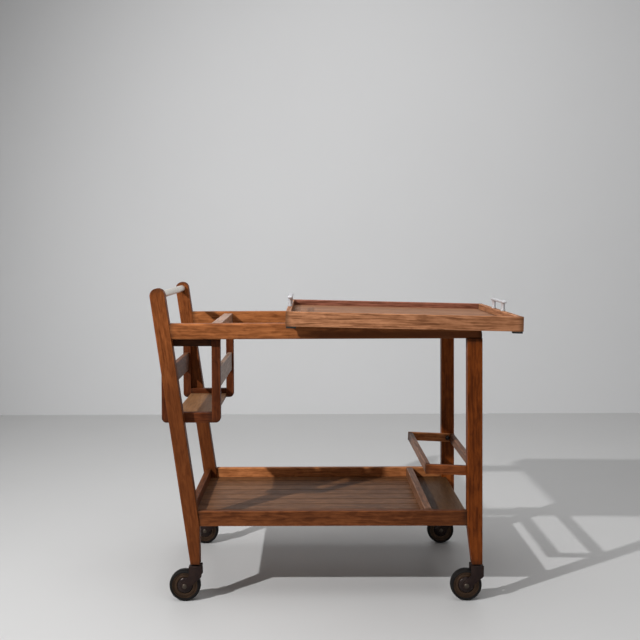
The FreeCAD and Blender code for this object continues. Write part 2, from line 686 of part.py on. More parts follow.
def rack_post(side, end, sign):
    """Make one post of the rack, with its lower outer corner rounded."""
    name = f"rack_{side}_{end}_post"
    x = RACK_X if end == "left" else RACK_RIGHT_POST_X
    y = from_y(side, RACK_INNER_Y, "rack_post_depth")
    size = ("rack_post_width", "rack_post_depth", "rack_height")
    blank = box(f"{name}_blank", (x, y, RACK_BOTTOM), size)
    doc.recompute()
    bounds = blank.Shape.BoundBox
    outer = bounds.XMin if end == "left" else bounds.XMax

    def low_corner(edge):
        """Tell whether an edge is the post's lower outer corner."""
        middle = edge.CenterOfMass
        return along("Y")(edge) and same(middle.x, outer) and same(middle.z, bounds.ZMin)

    def outer_edge(edge):
        """Tell whether an edge runs up the post's outer side."""
        return along("Z")(edge) and same(edge.CenterOfMass.x, outer)

    cornered = round_edges(f"{name}_cornered", blank, "rack_corner_radius", low_corner)
    eased = round_edges(f"{name}_eased", cornered, "edge_round", outer_edge)
    if end == "left":
        hole_y = f"{sign} * {POST_MIDDLE_Y} - rack_post_depth"
        holes = [rod(f"{name}_screw_hole", (LEG_SCREW_X, hole_y, LEG_SCREW_Z), SCREW_HOLE_R,
                     "2 * rack_post_depth", "Y")]
    else:
        holes = bar_screw_holes(name, side, sign)
    keep(name, drilled(name, eased, holes))


def rack():
    """Make the hanging rack: two closed frames, a board, two slats and the screws."""
    inner_x = f"({RACK_X} + rack_post_width)"
    inner_width = "(rack_width - 2 * rack_post_width)"
    for side, sign in SIDES.items():
        for end in ("left", "right"):
            rack_post(side, end, sign)
        y = from_y(side, RACK_INNER_Y, "rack_post_depth")
        rails = {
            "top": (f"{RACK_TOP} - rack_top_rail_height", "rack_top_rail_height"),
            "bottom": (RACK_BOTTOM, "rack_bottom_rail_height"),
        }
        for level, (z, height) in rails.items():
            name = f"rack_{side}_{level}_rail"
            keep(name, stick(name, (inner_x, y, z), (inner_width, "rack_post_depth", height), "X"))

    size = (inner_width, f"2 * {RACK_INNER_Y}", "rack_board_thickness")
    keep("rack_board", stick("rack_board", (inner_x, f"-{RACK_INNER_Y}", RACK_BOTTOM), size, "Y"))
    for end, post in (("left", RACK_X), ("right", RACK_RIGHT_POST_X)):
        name = f"rack_{end}_slat"
        x = f"{post} + (rack_post_width - rack_slat_thickness) / 2"
        size = ("rack_slat_thickness", f"2 * {RACK_INNER_Y}", "rack_slat_height")
        corner = (x, f"-{RACK_INNER_Y}", f"{RACK_BOTTOM} + rack_slat_rise")
        keep(name, stick(name, corner, size, "Y"))

    screws = []
    for side, sign in SIDES.items():
        y = f"{sign} * {POST_MIDDLE_Y}"
        shank = rod(f"{side}_bar_screw_shank", (BAR_SCREW_X, y, f"{RACK_TOP} - screw_bite"), SCREW_R,
                    f"{BAR_TOP} - {RACK_TOP} + screw_bite")
        head = rod(f"{side}_bar_screw_head", (BAR_SCREW_X, y, f"{BAR_TOP} - screw_head_height"),
                   "screw_head_diameter / 2", "screw_head_height")
        screws.append(fuse(f"{side}_bar_screw", shank, head))
        bite_end = f"({LEG_INNER_Y} + screw_bite)"
        shank_y = f"-{bite_end}" if side == "near" else RACK_INNER_Y
        head_y = from_y(side, f"{RACK_INNER_Y} - screw_head_height", "screw_head_height")
        shank = rod(f"{side}_leg_screw_shank", (LEG_SCREW_X, shank_y, LEG_SCREW_Z), SCREW_R,
                    f"{bite_end} - {RACK_INNER_Y}", "Y")
        head = rod(f"{side}_leg_screw_head", (LEG_SCREW_X, head_y, LEG_SCREW_Z), "screw_head_diameter / 2",
                   "screw_head_height", "Y")
        screws.append(fuse(f"{side}_leg_screw", shank, head))
    keep_group("rack_screws", screws)


# Tray, built about the lower inner edge of its left end, which stands on the rails

TRAY_X = f"({RIGHT} + tray_overhang - tray_length + tray_end_thickness)"
TRAY_Z = f"({RAIL_TOP} + tray_seat_gap)"
TRAY_TILT = f"asin(tray_floor_rise / ({RIGHT} - rail_corner_radius - {TRAY_X}))"
TRAY_LEFT = "(-tray_end_thickness)"
TRAY_TOP = "(tray_height - tray_skirt)"
TRAY_INNER_Y = f"({RAIL_OUTER_Y} + tray_side_gap)"
TRAY_INNER_LENGTH = "(tray_length - 2 * tray_end_thickness)"


def tray_grip(end, x):
    """Make one handle: a flat bar on two round posts with wider feet."""
    name = f"tray_{end}_handle"
    corner = (f"{x} - grip_width / 2", "-grip_length / 2", f"{TRAY_TOP} + grip_rise - grip_thickness")
    bar = box(f"{name}_bar", corner, ("grip_width", "grip_length", "grip_thickness"))
    shapes = [round_edges(f"{name}_eased", bar, "grip_round", along("Y"))]
    for side, sign in SIDES.items():
        base = (x, f"{sign} * grip_post_spacing / 2", TRAY_TOP)
        shapes.append(rod(f"{name}_{side}_post", base, "grip_post_diameter / 2",
                          "grip_rise - grip_thickness / 2"))
        shapes.append(rod(f"{name}_{side}_foot", base, "grip_foot_diameter / 2", "grip_foot_height"))
    return fuse(f"{name}_whole", *shapes)


def tray():
    """Make the tray's panels, floor, handles and pads, and lay it on the rails."""
    pieces = {}
    pads = []
    for side in SIDES:
        name = f"tray_{side}_side"
        y = from_y(side, TRAY_INNER_Y, "tray_side_thickness")
        size = ("tray_length", "tray_side_thickness", "tray_height")
        pieces[name] = stick(name, (TRAY_LEFT, y, "-tray_skirt"), size, "X")
        pad_xs = (f"{TRAY_LEFT} + pad_inset", f"{TRAY_LEFT} + tray_length - pad_inset - pad_length")
        for number, x in enumerate(pad_xs):
            size = ("pad_length", "tray_side_thickness", "pad_height")
            pads.append(box(f"{side}_pad_{number}", (x, y, "-tray_skirt - pad_height"), size))
    span = f"2 * {TRAY_INNER_Y}"
    for end, x in (("left", TRAY_LEFT), ("right", TRAY_INNER_LENGTH)):
        name = f"tray_{end}_end"
        size = ("tray_end_thickness", span, TRAY_TOP)
        pieces[name] = stick(name, (x, f"-{TRAY_INNER_Y}", "0"), size, "Y")
        pieces[f"tray_{end}_handle"] = tray_grip(end, f"({x} + tray_end_thickness / 2)")
    size = (TRAY_INNER_LENGTH, span, "tray_floor_thickness")
    corner = ("0", f"-{TRAY_INNER_Y}", "tray_floor_rise")
    pieces["tray_floor"] = stick("tray_floor", corner, size, "X", "board_round")
    for name, piece in pieces.items():
        keep(name, tip(piece, TRAY_TILT, TRAY_X, TRAY_Z))
    tip(keep_group("tray_pads", pads), TRAY_TILT, TRAY_X, TRAY_Z)


# Casters

def caster(side, end, sign):
    """Make one caster's fork, axle, wheel core and tyre, and return its socket."""
    name = f"{side}_{end}"
    x = STEMS[end]
    y = f"({sign} * {LEG_MIDDLE_Y})"
    axle_x = f"({x} - caster_trail)"

    sleeve = rod(f"{name}_sleeve", (x, y, "foot_height"), SOCKET_R, SOCKET_DEPTH)
    flange = rod(f"{name}_flange", (x, y, "foot_height - flange_height"),
                 "flange_diameter / 2", "flange_height")
    bore = rod(f"{name}_bore", (x, y, "foot_height - flange_height - cut_overrun"),
               "stem_diameter / 2 + running_gap",
               f"flange_height + cut_overrun + {SOCKET_DEPTH} - socket_wall")
    socket = cut(f"{name}_socket", fuse(f"{name}_socket_blank", sleeve, flange), bore)

    shapes = [
        rod(f"{name}_stem", (x, y, CROWN_BOTTOM), "stem_diameter / 2",
            "crown_height + thrust_gap + flange_height + stem_length"),
        rod(f"{name}_crown", (x, y, CROWN_BOTTOM), "crown_diameter / 2", "crown_height"),
    ]
    boss_r = "arm_boss_diameter / 2"
    outline = [
        (f"{axle_x} - {boss_r}", AXLE_Z),
        (f"{axle_x} + {boss_r}", AXLE_Z),
        (f"{x} + arm_top_width / 2", CROWN_BOTTOM),
        (f"{x} + arm_top_width / 2", CROWN_TOP),
        (f"{x} - arm_top_width / 2", CROWN_TOP),
        (f"{x} - arm_top_width / 2", CROWN_BOTTOM),
    ]
    arms = {"front": f"{y} - {ARM_INNER} - arm_thickness", "back": f"{y} + {ARM_INNER}"}
    for face, arm_y in arms.items():
        shapes.append(prism(f"{name}_{face}_arm", outline, arm_y, "arm_thickness"))
        shapes.append(rod(f"{name}_{face}_boss", (axle_x, arm_y, AXLE_Z), boss_r, "arm_thickness", "Y"))
    across = f"({ARM_INNER} + arm_thickness)"
    hole = rod(f"{name}_axle_hole", (axle_x, f"{y} - {across} - cut_overrun", AXLE_Z),
               "axle_diameter / 2 + glue_gap", f"2 * ({across} + cut_overrun)", "Y")
    keep(f"{name}_fork", cut(f"{name}_fork_cut", fuse(f"{name}_fork_blank", *shapes), hole))

    pin = rod(f"{name}_axle_pin", (axle_x, f"{y} - {across}", AXLE_Z),
              "axle_diameter / 2", f"2 * {across}", "Y")
    cap_ys = (f"{y} - {across} - axle_cap_height", f"{y} + {across}")
    caps = [rod(f"{name}_axle_cap_{number}", (axle_x, cap_y, AXLE_Z),
                "axle_cap_diameter / 2", "axle_cap_height", "Y")
            for number, cap_y in enumerate(cap_ys)]
    keep(f"{name}_axle", fuse(f"{name}_axle_whole", pin, *caps))

    core_r = "(wheel_diameter / 2 - tyre_thickness)"
    disc = rod(f"{name}_disc", (axle_x, f"{y} - core_width / 2", AXLE_Z),
               f"{core_r} - bond_gap", "core_width", "Y")
    dome_sizes = {"Radius1": "dome_diameter / 2", "Radius2": "dome_top_diameter / 2", "Height": "dome_height"}
    domes = []
    for face, outwards in (("front", -1), ("back", 1)):
        dome = doc.addObject("Part::Cone", f"{name}_{face}_dome")
        dome.Placement = FreeCAD.Placement(FreeCAD.Vector(), FreeCAD.Rotation(X_AXIS, -90 * outwards))
        bind(dome, dome_sizes)
        place(dome, axle_x, f"{y} + {outwards} * core_width / 2", AXLE_Z)
        domes.append(dome)
    core_half = "(core_width / 2 + dome_height + cut_overrun)"
    bore = rod(f"{name}_core_bore", (axle_x, f"{y} - {core_half}", AXLE_Z), "axle_diameter / 2 + running_gap",
               f"2 * {core_half}", "Y")
    keep(f"{name}_wheel_core", cut(f"{name}_core_cut", fuse(f"{name}_core_blank", disc, *domes), bore))

    ring = rod(f"{name}_ring", (axle_x, f"{y} - wheel_width / 2", AXLE_Z),
               "wheel_diameter / 2", "wheel_width", "Y")
    eased = round_edges(f"{name}_ring_eased", ring, "tyre_round", across_y)
    hollow = rod(f"{name}_ring_hollow", (axle_x, f"{y} - wheel_width / 2 - cut_overrun", AXLE_Z), core_r,
                 "wheel_width + 2 * cut_overrun", "Y")
    keep(f"{name}_tyre", cut(f"{name}_tyre_cut", eased, hollow))
    return socket


# Build, check and write

for side, sign in SIDES.items():
    left_leg(side, sign)
    right_leg(side, sign)
    top_rail(side, sign)
top_bars()
handle_tube()
shelf()
bottle_guard()
rack()
tray()
sockets = [caster(side, end, sign) for side, sign in SIDES.items() for end in STEMS]
keep_group("caster_sockets", sockets)
keep_group("frame_dowels", pegs)
doc.recompute()

faults = [item.Label for item in doc.Objects if {"Invalid", "Error"} & set(item.State)]
faults += [label for label, item in parts.items() if item.Shape.isNull() or not item.Shape.isValid()]
if faults:
    raise RuntimeError(f"These objects failed: {faults}")

os.makedirs("parts", exist_ok=True)
for label, item in parts.items():
    item.Shape.exportStep(f"parts/{label}.step")
print(f"{len(parts)} parts written, {sum(len(item.Shape.Solids) for item in parts.values())} solids")
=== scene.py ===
"""Looks of the wooden bar cart: its finishes, casters, tray handles and screws, round the fixed frame.

Everything is in metres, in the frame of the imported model: +X runs from the handle end to the tray end,
+Y from the near side to the far side and +Z up, with the floor at zero.
"""
from __future__ import annotations

import logging
import math
from dataclasses import dataclass, field, replace
from enum import Enum
from typing import Any, Iterable, Sequence

import bmesh
import bpy
from mathutils import Euler, Matrix, Vector

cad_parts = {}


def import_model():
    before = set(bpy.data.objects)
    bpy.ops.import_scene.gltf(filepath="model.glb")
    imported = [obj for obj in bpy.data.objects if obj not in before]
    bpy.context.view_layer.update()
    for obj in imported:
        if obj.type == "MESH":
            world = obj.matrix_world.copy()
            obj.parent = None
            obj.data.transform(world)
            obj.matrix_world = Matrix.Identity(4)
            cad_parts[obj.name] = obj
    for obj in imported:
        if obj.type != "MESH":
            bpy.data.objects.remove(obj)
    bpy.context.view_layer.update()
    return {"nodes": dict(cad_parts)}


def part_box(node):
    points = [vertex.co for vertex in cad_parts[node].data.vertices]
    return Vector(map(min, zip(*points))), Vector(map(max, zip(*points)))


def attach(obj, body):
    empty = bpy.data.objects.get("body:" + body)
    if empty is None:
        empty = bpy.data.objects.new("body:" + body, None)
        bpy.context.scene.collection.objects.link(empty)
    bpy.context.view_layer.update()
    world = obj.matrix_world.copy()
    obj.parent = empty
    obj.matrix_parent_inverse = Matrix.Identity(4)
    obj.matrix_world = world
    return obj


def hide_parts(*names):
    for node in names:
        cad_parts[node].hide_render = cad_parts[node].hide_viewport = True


LOG = logging.getLogger("bar_cart")
X_AXIS = Vector((1, 0, 0))
Y_AXIS = Vector((0, 1, 0))
Z_AXIS = Vector((0, 0, 1))
SIDES = {"near": -1, "far": 1}
ENDS = ("left", "right")

# Fineness of the meshes
TURN_STEPS = 64
ARC_STEP = 15
SMOOTH_LIMIT = math.radians(32)
EASE_LIMIT = math.radians(40)
MERGE_DISTANCE = 1e-6

Triple = tuple[float, float, float]
Colour = tuple[float, float, float]
Profile = Sequence[tuple[float, float]]
WHITE: Colour = (1.0, 1.0, 1.0)


@dataclass(frozen=True)
class Pattern:
    """Noise in waves per metre along each axis, and the levels between which it rises from 0 to 1."""

    scale: Triple
    detail: float = 2.0
    stir: float = 0.0
    levels: tuple[float, float] | None = None

    @classmethod
    def even(cls, scale: float, *settings: Any) -> Pattern:
        """Return noise with the same scale along every axis."""
        return cls((scale, scale, scale), *settings)


# Noise in the wood, with the fibres along the first axis
RING_WANDER = Pattern((1.6, 9.0, 9.0))
BROAD_BANDS = Pattern((1.3, 14.0, 14.0), 3.0, 0.4, (0.3, 0.7))
MOTTLE = Pattern((30.0, 95.0, 95.0), 4.0, 0.8, (0.3, 0.72))
STREAKS = Pattern((14.0, 220.0, 220.0), 4.0, 0.5, (0.3, 0.7))
FIBRES = Pattern((24.0, 900.0, 900.0))
PORES = Pattern((75.0, 2400.0, 2400.0), 1.0, 0.0, (0.58, 0.72))
RAGGED_EDGES = Pattern((28.0, 60.0, 60.0), 3.0)

# Noise in the other finishes
METAL_CLOUDS = Pattern.even(55.0, 4.0, 0.3, (0.35, 0.68))
METAL_SPECKS = Pattern.even(420.0, 2.0, 0.0, (0.6, 0.75))
DUST_PATCHES = Pattern.even(70.0, 5.0, 0.5, (0.46, 0.72))
RUBBER_PITS = Pattern.even(1300.0)
FELT_HAIRS = Pattern((900.0, 900.0, 1500.0), 4.0, 1.2)
PAINT_CLOUDS = Pattern.even(1.7, 4.0, 0.4, (0.35, 0.75))

# Where the pieces lie in the tree: its pith, how far the rings waver, and the step from piece to piece
ACROSS_FIBRES: Triple = (0.0, 1.0, 1.0)
PITH: Triple = (0.0, 0.035, 0.06)
RING_WAVER = 0.05
ALONG_STEP = 0.71
WIDE_PLACES = [0.019 * step - 0.05 for step in range(7)]
DEEP_PLACES = [0.023 * step - 0.04 for step in range(5)]

# How much faster green and blue rise than red in lighter wood
GREEN_POWER = 1.15
BLUE_POWER = 1.3


class Sock:
    """A shader socket that takes part in sums, so that an expression adds its Math nodes."""

    def __init__(self, shader: Shader, socket: bpy.types.NodeSocket) -> None:
        """Keep the socket and the shader that it belongs to."""
        self.shader = shader
        self.socket = socket

    def __add__(self, other: Sock | float) -> Sock:
        """Return self + other."""
        return self.shader.math("ADD", self, other)

    __radd__ = __add__

    def __sub__(self, other: Sock | float) -> Sock:
        """Return self - other."""
        return self.shader.math("SUBTRACT", self, other)

    def __rsub__(self, other: Sock | float) -> Sock:
        """Return other - self."""
        return self.shader.math("SUBTRACT", other, self)

    def __mul__(self, other: Sock | float) -> Sock:
        """Return self * other."""
        return self.shader.math("MULTIPLY", self, other)

    __rmul__ = __mul__

    def __truediv__(self, other: Sock | float) -> Sock:
        """Return self / other."""
        return self.shader.math("DIVIDE", self, other)

    def __abs__(self) -> Sock:
        """Return the size of the value without its sign."""
        return self.shader.math("ABSOLUTE", self)


class Shader:
    """The nodes of a material or a world under construction."""

    def __init__(self, owner: bpy.types.Material | bpy.types.World) -> None:
        """Start with no nodes.

        Args:
            owner: The new material or world.
        """
        owner.use_nodes = True
        self.owner = owner
        self.tree = owner.node_tree
        self.tree.nodes.clear()

    def node(self, kind: str, settings: dict[str, Any] | None = None,
             inputs: dict[int | str, Any] | None = None) -> bpy.types.Node:
        """Add a node.

        Args:
            kind: The node's type, without its common prefix.
            settings: Properties that are set first, and a ramp's stops.
            inputs: Values or links of its sockets, by name or number.

        Returns:
            The new node.
        """
        made = self.tree.nodes.new(f"ShaderNode{kind}")
        for key, value in (settings or {}).items():
            if key == "stops":
                self._set_stops(made.color_ramp, value)
            else:
                setattr(made, key, value)
        for key, value in (inputs or {}).items():
            if isinstance(value, Sock):
                self.tree.links.new(value.socket, made.inputs[key])
            elif isinstance(value, tuple) and made.inputs[key].type == "RGBA":
                made.inputs[key].default_value = (*value, 1.0)
            else:
                made.inputs[key].default_value = value
        return made

    @staticmethod
    def _set_stops(ramp: bpy.types.ColorRamp, stops: Iterable[tuple[float, Colour]]) -> None:
        """Give a colour ramp its stops.

        Args:
            ramp: The ramp, with the two stops that it starts with.
            stops: Positions and colours, in rising order.
        """
        for number, (position, colour) in enumerate(stops):
            if number >= len(ramp.elements):
                ramp.elements.new(position)
            ramp.elements[number].position = position
            ramp.elements[number].color = (*colour, 1.0)

    def out(self, node: bpy.types.Node, output: int | str = 0) -> Sock:
        """Return one of a node's outputs for use in sums."""
        return Sock(self, node.outputs[output])

    def math(self, operation: str, *operands: Sock | float) -> Sock:
        """Return the result of a Math node on values."""
        return self.out(self.node("Math", {"operation": operation}, dict(enumerate(operands))))

    def vector(self, operation: str, first: Sock, second: Sock | Triple | None = None) -> Sock:
        """Add a Vector Math node.

        Args:
            operation: Blender's name of the operation.
            first: The vector.
            second: The second vector, if the operation takes one.

        Returns:
            The result, which is a number for LENGTH.
        """
        inputs = {0: first} if second is None else {0: first, 1: second}
        made = self.node("VectorMath", {"operation": operation}, inputs)
        return self.out(made, "Value" if operation == "LENGTH" else "Vector")

    def coordinates(self) -> Sock:
        """Return the object's coordinates."""
        return self.out(self.node("TexCoord"), "Object")

    def own_coordinates(self, piece: PieceFrame) -> Sock:
        """Return coordinates along a piece's own axes, from its middle."""
        inputs = {"Vector": self.coordinates(), "Rotation": piece.rotation, "Location": -piece.centre}
        return self.out(self.node("Mapping", {"vector_type": "POINT"}, inputs))

    def split(self, vector: Sock) -> list[Sock]:
        """Return a vector's three parts."""
        made = self.node("SeparateXYZ", inputs={0: vector})
        return [self.out(made, axis) for axis in "XYZ"]

    def noise(self, vector: Sock, pattern: Pattern) -> Sock:
        """Add noise.

        Args:
            vector: Where the noise is read.
            pattern: Its scale, detail and levels.

        Returns:
            The noise, from 0 to 1.
        """
        stretched = self.vector("MULTIPLY", vector, pattern.scale)
        inputs = {"Vector": stretched, "Scale": 1.0, "Detail": pattern.detail, "Distortion": pattern.stir}
        noise = self.out(self.node("TexNoise", inputs=inputs))
        return self.smooth(noise, *pattern.levels) if pattern.levels else noise

    def smooth(self, value: Sock, low: float, high: float) -> Sock:
        """Return an S-curve that is 0 at low and 1 at high."""
        inputs = {"Value": value, "From Min": low, "From Max": high}
        return self.out(self.node("MapRange", {"interpolation_type": "SMOOTHSTEP"}, inputs))

    def mix(self, factor: Sock, first: Sock | Colour, second: Sock | Colour) -> Sock:
        """Blend two colours.

        Args:
            factor: 0 gives the first colour, and 1 the second one.
            first: The first colour.
            second: The second colour.

        Returns:
            The colour.
        """
        inputs = {"Factor": factor, 6: first, 7: second}
        return self.out(self.node("Mix", {"data_type": "RGBA"}, inputs), 2)

    def ramp(self, value: Sock, stops: Iterable[tuple[float, Colour]]) -> Sock:
        """Return the colour that a value has between stops."""
        return self.out(self.node("ValToRGB", {"stops": stops}, {0: value}), "Color")

    def bump(self, height: Sock, strength: float, depth: float) -> Sock:
        """Return a normal that follows a height, whose real size at 1 is the depth."""
        inputs = {"Height": height, "Strength": strength, "Distance": depth}
        return self.out(self.node("Bump", inputs=inputs))

    def surface(self, inputs: dict[int | str, Any]) -> bpy.types.Material:
        """Finish the material with one Principled surface.

        Args:
            inputs: Values or links of the surface's sockets.

        Returns:
            The material.
        """
        made = self.node("BsdfPrincipled", inputs=inputs)
        self.node("OutputMaterial", inputs={"Surface": self.out(made)})
        return self.owner


class Grain(Enum):
    """Directions in which the fibres of a piece can run."""

    LENGTH = "length"
    DEPTH = "depth"
    HEIGHT = "height"
    POST = "post"
    TRAY = "tray"
    GUARD = "guard"


@dataclass(frozen=True)
class PieceFrame:
    """A piece's own axes: the fibres run along the first."""

    rotation: Euler
    centre: Vector
    half: Vector

    @classmethod
    def of(cls, node: bpy.types.Object, fibres: Vector) -> PieceFrame:
        """Measure a node along its fibres and across them.

        Args:
            node: The node's object.
            fibres: The direction of its fibres.

        Returns:
            The piece's own axes, middle and half sizes.
        """
        turn = fibres.rotation_difference(X_AXIS).to_matrix()
        points = [turn @ vertex.co for vertex in node.data.vertices]
        low = Vector(min(point[axis] for point in points) for axis in range(3))
        high = Vector(max(point[axis] for point in points) for axis in range(3))
        return cls(turn.to_euler(), (low + high) / 2, (high - low) / 2)


@dataclass(frozen=True)
class PaintedShade:
    """Painted shade: darker wood from one place along a piece to another, or in its lower part alone,
    standing in for shadow and the fall of light.
    """

    start: float
    full: float
    share: float
    below: float | None = None
    softness: float = 0.3
    shade: float = 0.35

    def amount(self, shader: Shader, centred: Sock, piece: PieceFrame) -> Sock:
        """Work out how much painted shade darkens the wood.

        Args:
            shader: The material under construction.
            centred: Coordinates from the middle of the piece, with the fibres along X.
            piece: The piece's own axes.

        Returns:
            The amount, from 0 to 1.
        """
        along, _, high = shader.split(centred)
        painted_shade_amount = shader.smooth(along + piece.centre.x, self.start, self.full) * self.share
        if self.below is None:
            return painted_shade_amount
        height = high / piece.half.z
        return painted_shade_amount * (1 - shader.smooth(height, self.below - self.softness, self.below + self.softness))


@dataclass(frozen=True)
class Wood:
    """An oiled hardwood, with rings, streaks, pores, worn edges, darker joints and, at will, painted shade.
    """

    middle: Colour
    darkest: float = 0.50
    lightest: float = 1.50
    dark_tone: float = 0.14
    light_tone: float = 0.88
    worn: float = 1.95
    grime: Colour = (0.016, 0.007, 0.004)
    # Painted shade along or under a piece, standing in for shadow and the fall of light
    painted_shade: PaintedShade | None = None
    roughness: float = 0.46
    fibre_roughness: float = 0.3
    grime_roughness: float = 0.2
    wear_polish: float = 0.06
    sheen: float = 0.08
    ring_spacing: float = 0.0065
    ring_share: float = 0.08
    streak_share: float = 0.34
    mottle_share: float = 0.36
    fibre_share: float = 0.35
    pore_share: float = 0.45
    grime_share: float = 0.55
    wear_share: float = 0.42
    wear_width: float = 0.0032
    wear_waver: float = 3.0
    joint_width: float = 0.016
    relief: float = 0.22
    relief_depth: float = 0.0004
    fibre_relief: float = 0.6

    def shade(self, amount: float) -> Colour:
        """Return the wood's colour at a lightness, where 1 is its middle and lighter wood is yellower."""
        red, green, blue = self.middle
        return (red * amount, green * amount ** GREEN_POWER, blue * amount ** BLUE_POWER)

    def tone(self, shader: Shader, place: Sock) -> tuple[Sock, Sock]:
        """Lay out the figure of the wood.

        Args:
            shader: The material under construction.
            place: Coordinates with the fibres along X.

        Returns:
            How light the wood is, and its fine fibres.
        """
        fibres = shader.noise(place, FIBRES)
        pith = shader.vector("ADD", shader.vector("MULTIPLY", place, ACROSS_FIBRES), PITH)
        rings = shader.vector("LENGTH", pith) + shader.noise(place, RING_WANDER) * RING_WAVER
        waves = shader.math("SINE", rings * (math.tau / self.ring_spacing)) * 0.5 + 0.5
        rest = 1 - self.ring_share - self.streak_share - self.mottle_share
        tone = waves * self.ring_share
        tone += shader.noise(place, STREAKS) * self.streak_share
        tone += shader.noise(place, MOTTLE) * self.mottle_share
        tone += shader.noise(place, BROAD_BANDS) * rest
        return tone + (fibres - 0.5) * self.fibre_share, fibres

    def edges(self, shader: Shader, centred: Sock, place: Sock, half: Vector) -> tuple[Sock, Sock]:
        """Find the worn long edges and the grimy ends of a piece.

        Args:
            shader: The material under construction.
            centred: Coordinates from the middle of the piece, with the fibres along X.
            place: The same, moved by the piece's own amount, for the noise.
            half: Half the size of the piece.

        Returns:
            How worn and how grimy the surface is.
        """
        ragged = shader.noise(place, RAGGED_EDGES) - 0.5
        rooms = [limit - abs(part) for limit, part in zip(half, shader.split(centred))]
        corner = shader.math("MAXIMUM", rooms[1], rooms[2]) + ragged * (self.wear_waver * self.wear_width)
        end = rooms[0] + ragged * self.joint_width
        worn = 1 - shader.smooth(corner, 0.0, self.wear_width)
        return worn, 1 - shader.smooth(end, 0.0, self.joint_width)

    def material(self, name: str, piece: PieceFrame, number: int) -> bpy.types.Material:
        """Make the material of one piece.

        Args:
            name: Name of the material.
            piece: The piece's own axes.
            number: The piece's number, which picks its part of the tree.

        Returns:
            The material.
        """
        shader = Shader(bpy.data.materials.new(name))
        centred = shader.own_coordinates(piece)
        wide = WIDE_PLACES[number % len(WIDE_PLACES)]
        deep = DEEP_PLACES[number % len(DEEP_PLACES)]
        place = shader.vector("ADD", centred, (ALONG_STEP * number, wide, deep))
        tone, fibres = self.tone(shader, place)
        worn, grimy = self.edges(shader, centred, place, piece.half)
        # How much painted shade darkens this piece
        painted_shade_amount = self.painted_shade.amount(shader, centred, piece) if self.painted_shade else None
        return self.dress(shader, place, tone, fibres, grimy, worn, painted_shade_amount)

    def dress(self, shader: Shader, place: Sock, tone: Sock, fibres: Sock, grimy: Sock,
              worn: Sock | None = None, painted_shade_amount: Sock | None = None) -> bpy.types.Material:
        """Turn the figure into colour, gloss and relief.

        Args:
            shader: The material under construction.
            place: Coordinates with the fibres along X.
            tone: How light the wood is.
            fibres: Its fine fibres.
            grimy: How grimy its ends are.
            worn: How worn its edges are.
            painted_shade_amount: How much painted shade darkens the wood.

        Returns:
            The material.
        """
        pores = shader.noise(place, PORES)
        dark = self.shade(self.darkest)
        light = self.shade(self.lightest)
        colour = shader.ramp(tone, ((self.dark_tone, dark), (0.5, self.middle), (self.light_tone, light)))
        colour = shader.mix(pores * self.pore_share, colour, dark)
        roughness = self.roughness + (fibres - 0.5) * self.fibre_roughness + grimy * self.grime_roughness
        if worn is not None:
            colour = shader.mix(worn * self.wear_share, colour, self.shade(self.worn))
            roughness -= worn * self.wear_polish
        # Painted shade: darken the wood where shadow or falling light would darken it
        if painted_shade_amount is not None:
            colour = shader.mix(painted_shade_amount, colour, self.shade(self.painted_shade.shade))
        relief = fibres * self.fibre_relief + (1 - pores) * (1 - self.fibre_relief)
        return shader.surface({
            "Base Color": shader.mix(grimy * self.grime_share, colour, self.grime),
            "Roughness": roughness,
            "Specular IOR Level": self.sheen,
            "Normal": shader.bump(relief, self.relief, self.relief_depth),
        })


@dataclass(frozen=True)
class BoardedWood(Wood):
    """Wood of a floor made of boards side by side, each from another part of the tree."""

    board_pitch: float = 0.0461
    first_edge: float = -0.2065
    board_step: float = 0.83
    wide_step: float = 0.4
    deep_step: float = 0.3
    board_contrast: float = 0.3
    seam_inner: float = 0.0006
    seam_outer: float = 0.0032

    def material(self, name: str, piece: PieceFrame, number: int) -> bpy.types.Material:
        """Make the material of a floor whose boards run along X.

        Args:
            name: Name of the material.
            piece: The piece's own axes.
            number: The piece's number, which picks its part of the tree.

        Returns:
            The material.
        """
        shader = Shader(bpy.data.materials.new(name))
        centred = shader.own_coordinates(piece)
        across = shader.split(centred)[1] + (piece.centre.y - self.first_edge)
        board = shader.math("FLOOR", across / self.board_pitch)
        chance = shader.out(shader.node("TexWhiteNoise", {"noise_dimensions": "1D"}, {"W": board + number}))
        shift = shader.node("CombineXYZ", inputs={
            "X": board * self.board_step,
            "Y": chance * self.wide_step,
            "Z": chance * self.deep_step,
        })
        place = shader.vector("ADD", centred, shader.out(shift))
        tone, fibres = self.tone(shader, place)
        tone += (chance - 0.5) * self.board_contrast
        from_edge = across - board * self.board_pitch
        room = shader.math("MINIMUM", from_edge, self.board_pitch - from_edge)
        seam = 1 - shader.smooth(room, self.seam_inner, self.seam_outer)
        return self.dress(shader, place, tone, fibres, seam)


@dataclass(frozen=True)
class Metal:
    """A metal surface with fine scratches along one axis and a cloudy polish."""

    colour: Colour
    cloud: Colour
    roughness: float
    scratch: Triple
    metallic: float = 1.0
    sheen: float = 0.5
    cloud_share: float = 0.5
    scratch_roughness: float = 0.22
    cloud_roughness: float = 0.08
    speck_roughness: float = 0.06
    relief: float = 0.06
    relief_depth: float = 0.0002
    scratch_relief: float = 0.7

    def material(self, name: str) -> bpy.types.Material:
        """Make the material.

        Args:
            name: Name of the material.

        Returns:
            The material.
        """
        shader = Shader(bpy.data.materials.new(name))
        place = shader.coordinates()
        clouds = shader.noise(place, METAL_CLOUDS)
        lines = shader.noise(place, Pattern(self.scratch))
        specks = shader.noise(place, METAL_SPECKS)
        roughness = self.roughness + (lines - 0.5) * self.scratch_roughness
        roughness += clouds * self.cloud_roughness + specks * self.speck_roughness
        relief = lines * self.scratch_relief + specks * (1 - self.scratch_relief)
        return shader.surface({
            "Base Color": shader.mix(clouds * self.cloud_share, self.colour, self.cloud),
            "Metallic": self.metallic,
            "Specular IOR Level": self.sheen,
            "Roughness": roughness,
            "Normal": shader.bump(relief, self.relief, self.relief_depth),
        })


